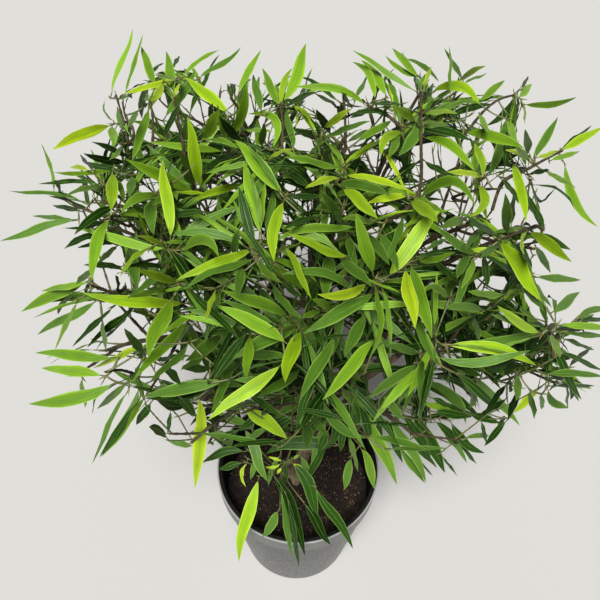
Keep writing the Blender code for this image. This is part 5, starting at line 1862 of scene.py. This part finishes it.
def make_pot(grey, collar_painted_light_grey, rim_painted_highlight_grey, black):
    """Grey body, a collar painted a lighter grey as painted light, a thin rim painted paler still as a
    painted highlight, and the black lining inside it.
    """
    body_top = POT_HEIGHT - COLLAR_HEIGHT
    collar = RIM_RADIUS - RIM_BEAD
    seam = WALL * 0.5
    step_foot = body_top - STEP_HEIGHT
    bead_foot = POT_HEIGHT - RIM_BEAD_DEPTH
    lip = RIM_RADIUS - LIP_WIDTH
    body = [(0.0, BASE_HOLLOW), (BASE_RADIUS - BASE_RING, BASE_HOLLOW), (BASE_RADIUS - BASE_RING, 0.0)]
    body += [(BASE_RADIUS - BASE_CORNER, 0.0), (body_radius(BASE_CORNER), BASE_CORNER)]
    body += [(body_radius(step_foot), step_foot), (inner_radius(step_foot) + seam, step_foot)]
    body += [(inner_radius(BASE_CORNER) + seam, BASE_CORNER), (0.0, BASE_CORNER)]
    turned("pot_body", rounded(body, POT_ROUND), grey)
    within = inner_radius(body_top) + seam
    band_foot = step_foot + SEAM_GAP
    band = [(inner_radius(step_foot) + seam, band_foot), (body_radius(step_foot), band_foot)]
    band += [(collar, body_top), (collar, bead_foot - SEAM_GAP), (within, bead_foot - SEAM_GAP)]
    band += [(within, body_top)]
    turned("pot_collar", rounded(band + band[:1], POT_ROUND), collar_painted_light_grey)
    rim = [(within, bead_foot), (collar, bead_foot), (RIM_RADIUS, bead_foot + RIM_BEAD)]
    rim += [(RIM_RADIUS, POT_HEIGHT), (lip, POT_HEIGHT), (lip, POT_HEIGHT - WALL)]
    rim += [(within, POT_HEIGHT - WALL * 2.0)]
    turned("pot_rim", rounded(rim + rim[:1], RIM_ROUND), rim_painted_highlight_grey)
    liner_lip = lip - LINER_LIP
    lining_foot = BASE_CORNER + SEAM_GAP
    lining = [(0.0, lining_foot), (inner_radius(BASE_CORNER) + seam - SEAM_GAP, lining_foot)]
    for height in (step_foot, body_top):
        lining.append((inner_radius(height) + seam - SEAM_GAP, height))
    lining += [(within - SEAM_GAP, POT_HEIGHT - WALL), (lip - SEAM_GAP, POT_HEIGHT - WALL)]
    lining += [(lip - SEAM_GAP, POT_HEIGHT - LIP_DROP), (liner_lip, POT_HEIGHT - LIP_DROP)]
    lining += [(liner_lip, POT_HEIGHT - LINER_LIP), (inner_radius(body_top) - WALL, POT_HEIGHT - LINER_LIP)]
    lining += [(inner_radius(body_top) - WALL, body_top), (inner_radius(step_foot), step_foot)]
    lining += [(inner_radius(WALL + BASE_CORNER), BASE_CORNER + WALL * 2.0), (0.0, BASE_CORNER + WALL * 2.0)]
    turned("pot_lining", rounded(lining, POT_ROUND), black)


def filling_height(place):
    """Height of the potting mix: it rises a little to the trunk and is crumbly all over."""
    across = place.length
    edge = inner_radius(FILL_TOP) - MIX_EDGE_GAP
    rise = FILL_DIP * max(0.0, min(1.0, (edge - across) / (edge - FILL_MOUND_RADIUS))) ** FILL_CURVE
    spot = Vector((place.x, place.y, 0.0))
    rough = MIX_RELIEF * noise.noise(spot * MIX_COARSE) + MIX_GRIT * noise.noise(spot * MIX_FINE)
    return FILL_TOP - FILL_DIP + rise + rough


def make_mix(finish):
    """Potting mix as a plug with a crumbly top."""
    heap = Heap()
    edge = inner_radius(FILL_TOP - FILL_DIP) - MIX_EDGE_GAP
    vertices = [Vector((0.0, 0.0, filling_height(Vector((0.0, 0.0)))))]
    for ring in range(1, MIX_RINGS + 1):
        for corner in range(MIX_SEGMENTS):
            angle = math.tau * corner / MIX_SEGMENTS
            place = Vector((math.cos(angle), math.sin(angle))) * edge * ring / MIX_RINGS
            vertices.append(Vector((place.x, place.y, filling_height(place))))
    for corner in range(MIX_SEGMENTS):
        angle = math.tau * corner / MIX_SEGMENTS
        low = inner_radius(MIX_FLOOR) - MIX_EDGE_GAP
        vertices.append(Vector((math.cos(angle) * low, math.sin(angle) * low, MIX_FLOOR)))
    faces = []
    for corner in range(MIX_SEGMENTS):
        after = (corner + 1) % MIX_SEGMENTS
        faces.append((0, 1 + corner, 1 + after))
        for ring in range(MIX_RINGS):
            low = 1 + ring * MIX_SEGMENTS
            high = low + MIX_SEGMENTS
            faces.append((low + corner, high + corner, high + after, low + after))
    last = 1 + MIX_RINGS * MIX_SEGMENTS
    faces.append(tuple(reversed(range(last, last + MIX_SEGMENTS))))
    heap.add(vertices, faces)
    return add_piece("mix_bed", heap, finish, ["potting_mix"])


def lump(chance, centre, size, flatness):
    """Irregular lump: a stretched, turned and dented ball of twenty faces."""
    ball = bmesh.new()
    bmesh.ops.create_icosphere(ball, subdivisions=1, radius=1.0)
    turn = Quaternion((swing(chance), swing(chance), swing(chance), swing(chance))).normalized().to_matrix()
    stretch = Vector((1.0, chance.uniform(LUMP_NARROWEST, 1.0), chance.uniform(*flatness)))
    vertices = []
    for corner in ball.verts:
        dent = 1.0 + LUMP_DENT * swing(chance)
        shape = Vector([length * pull for length, pull in zip(corner.co, stretch)])
        vertices.append(centre + (turn @ shape) * size * 0.5 * dent)
    faces = [tuple(vertex.index for vertex in face.verts) for face in ball.faces]
    ball.free()
    return vertices, faces


def scatter(chance, sunk):
    """A chance place on the potting mix, clear of the trunk."""
    edge = inner_radius(FILL_TOP - FILL_DIP) - MIX_EDGE_GAP - MIX_EDGE_CLEAR
    while True:
        place = Vector((swing(chance), swing(chance))) * edge
        if TRUNK_CLEAR < place.length < edge:
            return Vector((place.x, place.y, filling_height(place) - sunk))


def make_crumbs(name, seed, count, sizes, flatness, finish):
    chance = random.Random(seed)
    heap = Heap()
    for _ in range(count):
        size = chance.uniform(*sizes) * chance.uniform(CRUMB_SMALLEST, 1.0)
        heap.add(*lump(chance, scatter(chance, size * CRUMB_SUNK), size, flatness))
    return add_piece(name, heap, finish, ["potting_mix"])


def make_fibres(finish):
    """Root and coir fibres that lie on the mix."""
    chance = random.Random(SEED + FIBRE_SEED)
    heap = Heap()
    for _ in range(FIBRE_COUNT):
        place = scatter(chance, 0.0)
        bearing = chance.uniform(0.0, math.tau)
        bend = swing(chance) * FIBRE_BEND
        path = []
        for _ in range(FIBRE_RINGS):
            ground = filling_height(place.to_2d()) + FIBRE_LIFT
            path.append(Vector((place.x, place.y, ground)))
            place = place + Vector((math.cos(bearing), math.sin(bearing), 0.0)) * chance.uniform(*FIBRE_STEPS)
            bearing += bend
            if place.to_2d().length > inner_radius(FILL_TOP) - MIX_EDGE_CLEAR:
                break
        if len(path) > 2:
            heap.add(*tube(path, [FIBRE_RADIUS] * len(path), TWIG_SIDES))
    return add_piece("mix_fibres", heap, finish, ["potting_mix"])


# Finishes


def add_node(tree, kind, **values):
    node = tree.nodes.new(kind)
    for name, value in values.items():
        setattr(node, name, value)
    return node


def feed(tree, value, socket):
    """Link another node's output to a socket, or set a plain number on it."""
    if isinstance(value, bpy.types.NodeSocket):
        tree.links.new(value, socket)
    else:
        socket.default_value = value


def math_node(tree, operation, first, second=0.0):
    node = add_node(tree, "ShaderNodeMath", operation=operation)
    feed(tree, first, node.inputs[0])
    feed(tree, second, node.inputs[1])
    return node.outputs[0]


def spread_node(tree, value, low, high):
    """0 at the low value and 1 at the high one."""
    node = add_node(tree, "ShaderNodeMapRange", clamp=True)
    feed(tree, value, node.inputs["Value"])
    feed(tree, low, node.inputs["From Min"])
    feed(tree, high, node.inputs["From Max"])
    return node.outputs["Result"]


def new_effect(name, entries, results):
    """Shared effect with its inputs and outputs, still empty."""
    tree = bpy.data.node_groups.new(name, "ShaderNodeTree")
    for entry, value in entries:
        socket = tree.interface.new_socket(name=entry, in_out="INPUT", socket_type="NodeSocketFloat")
        socket.default_value = value
    for result in results:
        tree.interface.new_socket(name=result, in_out="OUTPUT", socket_type="NodeSocketFloat")
    return tree, tree.nodes.new("NodeGroupInput"), tree.nodes.new("NodeGroupOutput")


def mask_group():
    """Shared effect: patches of a size that the material gives, from 0 to 1."""
    tree, entry, leave = new_effect("patches", PATCH_INPUTS, ("Mask",))
    place = tree.nodes.new("ShaderNodeTexCoord")
    squeeze = tree.nodes.new("ShaderNodeCombineXYZ")
    squeeze.inputs[0].default_value = 1.0
    squeeze.inputs[1].default_value = 1.0
    scale = add_node(tree, "ShaderNodeVectorMath", operation="MULTIPLY")
    cloud = tree.nodes.new("ShaderNodeTexNoise")
    tree.links.new(entry.outputs["Stretch"], squeeze.inputs[2])
    tree.links.new(place.outputs["Object"], scale.inputs[0])
    tree.links.new(squeeze.outputs[0], scale.inputs[1])
    tree.links.new(scale.outputs[0], cloud.inputs["Vector"])
    tree.links.new(entry.outputs["Size"], cloud.inputs["Scale"])
    tree.links.new(entry.outputs["Detail"], cloud.inputs["Detail"])
    mask = spread_node(tree, cloud.outputs["Fac"], entry.outputs["From"], entry.outputs["To"])
    tree.links.new(mask, leave.inputs["Mask"])
    return tree


def vein_group():
    """Shared effect of the blades: pale edge, side veins, streaks along it and the shade from rib to edge."""
    tree, entry, leave = new_effect("blade_veins", VEIN_INPUTS, ("Edge", "Vein", "Side", "Streak"))
    place = tree.nodes.new("ShaderNodeTexCoord")
    split = tree.nodes.new("ShaderNodeSeparateXYZ")
    tree.links.new(place.outputs["UV"], split.inputs[0])
    away = math_node(tree, "ABSOLUTE", math_node(tree, "SUBTRACT", split.outputs[1], 0.5))
    side = math_node(tree, "MULTIPLY", away, 2.0)
    edge = spread_node(tree, side, entry.outputs["Margin"], 1.0)
    slant = math_node(tree, "MULTIPLY", away, entry.outputs["Slant"])
    along = math_node(tree, "SUBTRACT", split.outputs[0], slant)
    turns = math_node(tree, "MULTIPLY", math_node(tree, "MULTIPLY", along, entry.outputs["Veins"]), math.tau)
    vein = spread_node(tree, math_node(tree, "SINE", turns), VEIN_FROM, 1.0)
    apart = add_node(tree, "ShaderNodeVectorMath", operation="DOT_PRODUCT")
    apart.inputs[1].default_value = LEAF_APART
    tree.links.new(place.outputs["Object"], apart.inputs[0])
    lengthwise = tree.nodes.new("ShaderNodeCombineXYZ")
    lengths = math_node(tree, "MULTIPLY", split.outputs[0], STREAK_LENGTHS)
    widths = math_node(tree, "MULTIPLY", split.outputs[1], entry.outputs["Streaks"])
    for axis, source in enumerate((lengths, widths, apart.outputs["Value"])):
        tree.links.new(source, lengthwise.inputs[axis])
    cloud = tree.nodes.new("ShaderNodeTexNoise")
    cloud.inputs["Scale"].default_value = 1.0
    tree.links.new(lengthwise.outputs[0], cloud.inputs["Vector"])
    streak = spread_node(tree, cloud.outputs["Fac"], *STREAK_RANGE)
    for name, source in (("Edge", edge), ("Vein", vein), ("Side", side), ("Streak", streak)):
        tree.links.new(source, leave.inputs[name])
    return tree


def new_finish(name, roughness, specular=0.5):
    material = bpy.data.materials.new(name)
    material.use_nodes = True
    tree = material.node_tree
    shader = tree.nodes["Principled BSDF"]
    shader.inputs["Roughness"].default_value = roughness
    shader.inputs["Specular IOR Level"].default_value = specular
    return material, tree, shader


def place_group(tree, group, **values):
    node = tree.nodes.new("ShaderNodeGroup")
    node.node_tree = group
    for name, value in values.items():
        node.inputs[name].default_value = value
    return node


def blend_colours(tree, factor, first, second, strength=1.0):
    """Mix of two colours, each a plain colour or another node's output, by a mask."""
    mixer = add_node(tree, "ShaderNodeMix", data_type="RGBA", blend_type="MIX")
    if strength != 1.0:
        factor = math_node(tree, "MULTIPLY", factor, strength)
    tree.links.new(factor, mixer.inputs["Factor"])
    for socket, colour in ((mixer.inputs[6], first), (mixer.inputs[7], second)):
        feed(tree, colour if isinstance(colour, bpy.types.NodeSocket) else (*colour, 1.0), socket)
    return mixer.outputs[2]


def add_bump(tree, shader, height, strength, distance):
    bump = tree.nodes.new("ShaderNodeBump")
    bump.inputs["Strength"].default_value = strength
    bump.inputs["Distance"].default_value = distance
    tree.links.new(height, bump.inputs["Height"])
    tree.links.new(bump.outputs["Normal"], shader.inputs["Normal"])


def plastic_finish(patches, name, colour, worn, roughness, shine):
    material, tree, shader = new_finish(name, roughness, shine)
    wear = place_group(tree, patches, **WEAR_PATCHES)
    scuffs = place_group(tree, patches, **SCUFF_PATCHES)
    shade = blend_colours(tree, wear.outputs["Mask"], colour, worn)
    tree.links.new(shade, shader.inputs["Base Color"])
    rougher = add_node(tree, "ShaderNodeMapRange", clamp=True)
    rougher.inputs["To Min"].default_value = roughness - SCUFF_SMOOTHER
    rougher.inputs["To Max"].default_value = roughness + SCUFF_ROUGHER
    tree.links.new(scuffs.outputs["Mask"], rougher.inputs["Value"])
    tree.links.new(rougher.outputs["Result"], shader.inputs["Roughness"])
    add_bump(tree, shader, scuffs.outputs["Mask"], *SCUFF_BUMP)
    return material


def crumb_finish(patches, name, colour, other, size):
    material, tree, shader = new_finish(name, *CRUMB_SHEEN)
    spots = place_group(tree, patches, Size=size, **SPOT_PATCHES)
    grit = place_group(tree, patches, Size=size * GRIT_FINER, **GRIT_PATCHES)
    tree.links.new(blend_colours(tree, spots.outputs["Mask"], colour, other), shader.inputs["Base Color"])
    add_bump(tree, shader, grit.outputs["Mask"], *CRUMB_BUMP)
    return material


def bark_finish(patches, name, colour, furrow, pale):
    material, tree, shader = new_finish(name, *BARK_SHEEN)
    grain = place_group(tree, patches, **GRAIN_PATCHES)
    blotches = place_group(tree, patches, **BLOTCH_PATCHES)
    shade = blend_colours(tree, grain.outputs["Mask"], furrow, colour)
    shade = blend_colours(tree, blotches.outputs["Mask"], shade, pale, BLOTCH_STRENGTH)
    tree.links.new(shade, shader.inputs["Base Color"])
    add_bump(tree, shader, grain.outputs["Mask"], *BARK_BUMP)
    return material


def stalk_finish(patches, name, colour, other):
    material, tree, shader = new_finish(name, STALK_ROUGHNESS)
    spots = place_group(tree, patches, **STALK_PATCHES)
    tree.links.new(blend_colours(tree, spots.outputs["Mask"], colour, other), shader.inputs["Base Color"])
    return material


def blade_finish(patches, veins, name, colour, pale, shine):
    """Leaf finish: green along its middle, lighter and yellower to its sides as painted light, with streaks,
    veins, a pale edge that is partly a painted highlight, and a paler underside that is partly painted light
    through the leaf.
    """
    material, tree, shader = new_finish(name, BLADE_ROUGHNESS, shine)
    surface = place_group(tree, veins)
    spots = place_group(tree, patches, **BLADE_PATCHES)
    darker = tuple(value * BLADE_DARKER for value in colour)
    lit_sides = tuple(value * gain for value, gain in zip(colour, BLADE_LIT_SIDES))
    # The lighter sides are painted light and the pale edge is partly a painted highlight
    layer_colours = {"Side": lit_sides, "Streak": darker, "Vein": pale, "Edge": pale}
    shade = blend_colours(tree, spots.outputs["Mask"], darker, colour)
    for layer, strength in BLADE_LAYERS:
        shade = blend_colours(tree, surface.outputs[layer], shade, layer_colours[layer], strength)
    # Paler underside: the leaf's own paler back, and partly painted light through the leaf
    under = [share_between(ends, UNDERSIDE_PALER) for ends in zip(colour, UNDERSIDE)]
    faces = tree.nodes.new("ShaderNodeNewGeometry")
    shade = blend_colours(tree, faces.outputs["Backfacing"], shade, under)
    tree.links.new(shade, shader.inputs["Base Color"])
    duller = math_node(tree, "MULTIPLY", faces.outputs["Backfacing"], UNDERSIDE_DULLER)
    tree.links.new(math_node(tree, "ADD", duller, BLADE_ROUGHNESS), shader.inputs["Roughness"])
    add_bump(tree, shader, surface.outputs["Streak"], *BLADE_BUMP)
    return material


# Light, floor and camera


def make_floor():
    mesh = bpy.data.meshes.new("studio_floor")
    half = FLOOR_HALF
    mesh.from_pydata([(-half, -half, 0.0), (half, -half, 0.0), (half, half, 0.0), (-half, half, 0.0)],
                     [], [(0, 1, 2, 3)])
    material, _, shader = new_finish("floor_paint", *FLOOR_SHEEN)
    shader.inputs["Base Color"].default_value = (*FLOOR_COLOUR, 1.0)
    mesh.materials.append(material)
    floor = new_object("studio_floor", mesh)


def add_key():
    lamp = bpy.data.lights.new("key", "SUN")
    lamp.angle = math.radians(KEY_SOFTNESS)
    lamp.energy = KEY_STRENGTH
    lamp.color = KEY_COLOUR
    key = new_object("key", lamp)
    key.rotation_euler = Vector(KEY_PLACE).to_track_quat("Z", "Y").to_euler()


def light_scene():
    world = bpy.data.worlds.new("studio")
    world.use_nodes = True
    sky = world.node_tree.nodes["Background"]
    sky.inputs["Color"].default_value = (*SKY_COLOUR, 1.0)
    sky.inputs["Strength"].default_value = SKY_STRENGTH
    bpy.context.scene.world = world
    add_key()
    bpy.context.scene.view_settings.view_transform = "Standard"


def aim_camera():
    right, down, forward = CAMERA_AXES
    turn = Matrix((right, -down, -forward)).transposed()
    lens = bpy.data.cameras.new("camera")
    lens.lens = CAMERA_LENS
    lens.sensor_width = SENSOR
    lens.clip_start = CAMERA_NEAR
    camera = new_object("camera", lens)
    camera.matrix_world = Matrix.Translation(CAMERA_PLACE) @ turn.to_4x4()
    bpy.context.scene.camera = camera


# Everything in its place


def make_foliage(masses, limbs, patches, veins):
    nodes = ["foliage_" + name for name in masses]
    woods = clip_woods(grow_wood(masses, limbs), picture_mask(()))
    place_seen_twigs(woods)
    seen_leaves, crowd, veils = place_seen_leaves(woods)
    wood_shapes = [tube(wood.path, [wood.radii[0]] * len(wood.path), TWIG_SIDES) for wood in woods]
    wood_tree = tree_of(wood_shapes + [skin_of(limb, 0.0) for limb in limbs])
    leaves = seen_leaves + grow_leaves(woods, wood_tree, crowd, veils)
    old_wood = Heap()
    green_wood = Heap()
    buds = Heap()
    for wood in trim_woods(woods):
        heap = green_wood if wood.kind == "shoot" else old_wood
        heap.add(*wood_tube(wood))
        buds.add(*bud_shape(wood))
    blades = [Heap() for _ in TINTS]
    dark_ribs = Heap()
    light_ribs = Heap()
    for leaf, tint in leaves:
        blades[tint].add(*leaf_blade(leaf))
        ribs = dark_ribs if tint < LIGHT_RIB_FROM else light_ribs
        ribs.add(*leaf_rib(leaf))
        green_wood.add(*leaf_stalk(leaf))
    for heap, (name, colour, pale, _, shine) in zip(blades, TINTS):
        add_piece(name, heap, blade_finish(patches, veins, name, colour, pale, shine), nodes)
    add_piece("leaf_ribs", dark_ribs, stalk_finish(patches, "rib_green", *RIB_COLOURS), nodes)
    add_piece("leaf_ribs_new_and_lit", light_ribs, stalk_finish(patches, "rib_lime", *NEW_AND_LIT_RIB_COLOURS), nodes)
    add_piece("twigs", old_wood, bark_finish(patches, "twig_bark", *TWIG_COLOURS), nodes)
    add_piece("shoots_and_stalks", green_wood, stalk_finish(patches, "stalk", *STALK_COLOURS), nodes)
    add_piece("buds", buds, stalk_finish(patches, "bud", *BUD_COLOURS), nodes)


def make_plant():
    patches = mask_group()
    veins = vein_group()
    trunk = plan_trunk()
    boughs = plan_boughs()
    masses = plan_masses(trunk, boughs)
    limbs = [trunk] + list(boughs.values())
    block_masses(masses, limbs)
    make_bark(trunk, boughs, bark_finish(patches, "fig_bark", *BARK_COLOURS))
    make_foliage(masses, limbs, patches, veins)
    make_pot(*[plastic_finish(patches, *finish) for finish in POT_FINISHES])
    make_mix(crumb_finish(patches, *MIX_FINISH))
    for name, seed, count, sizes, flatness, finish in LOOSE_BITS:
        make_crumbs(name, SEED + seed, count, sizes, flatness, crumb_finish(patches, *finish))
    make_fibres(stalk_finish(patches, "fibre", *FIBRE_COLOURS))


make_plant()
make_floor()
light_scene()
aim_camera()
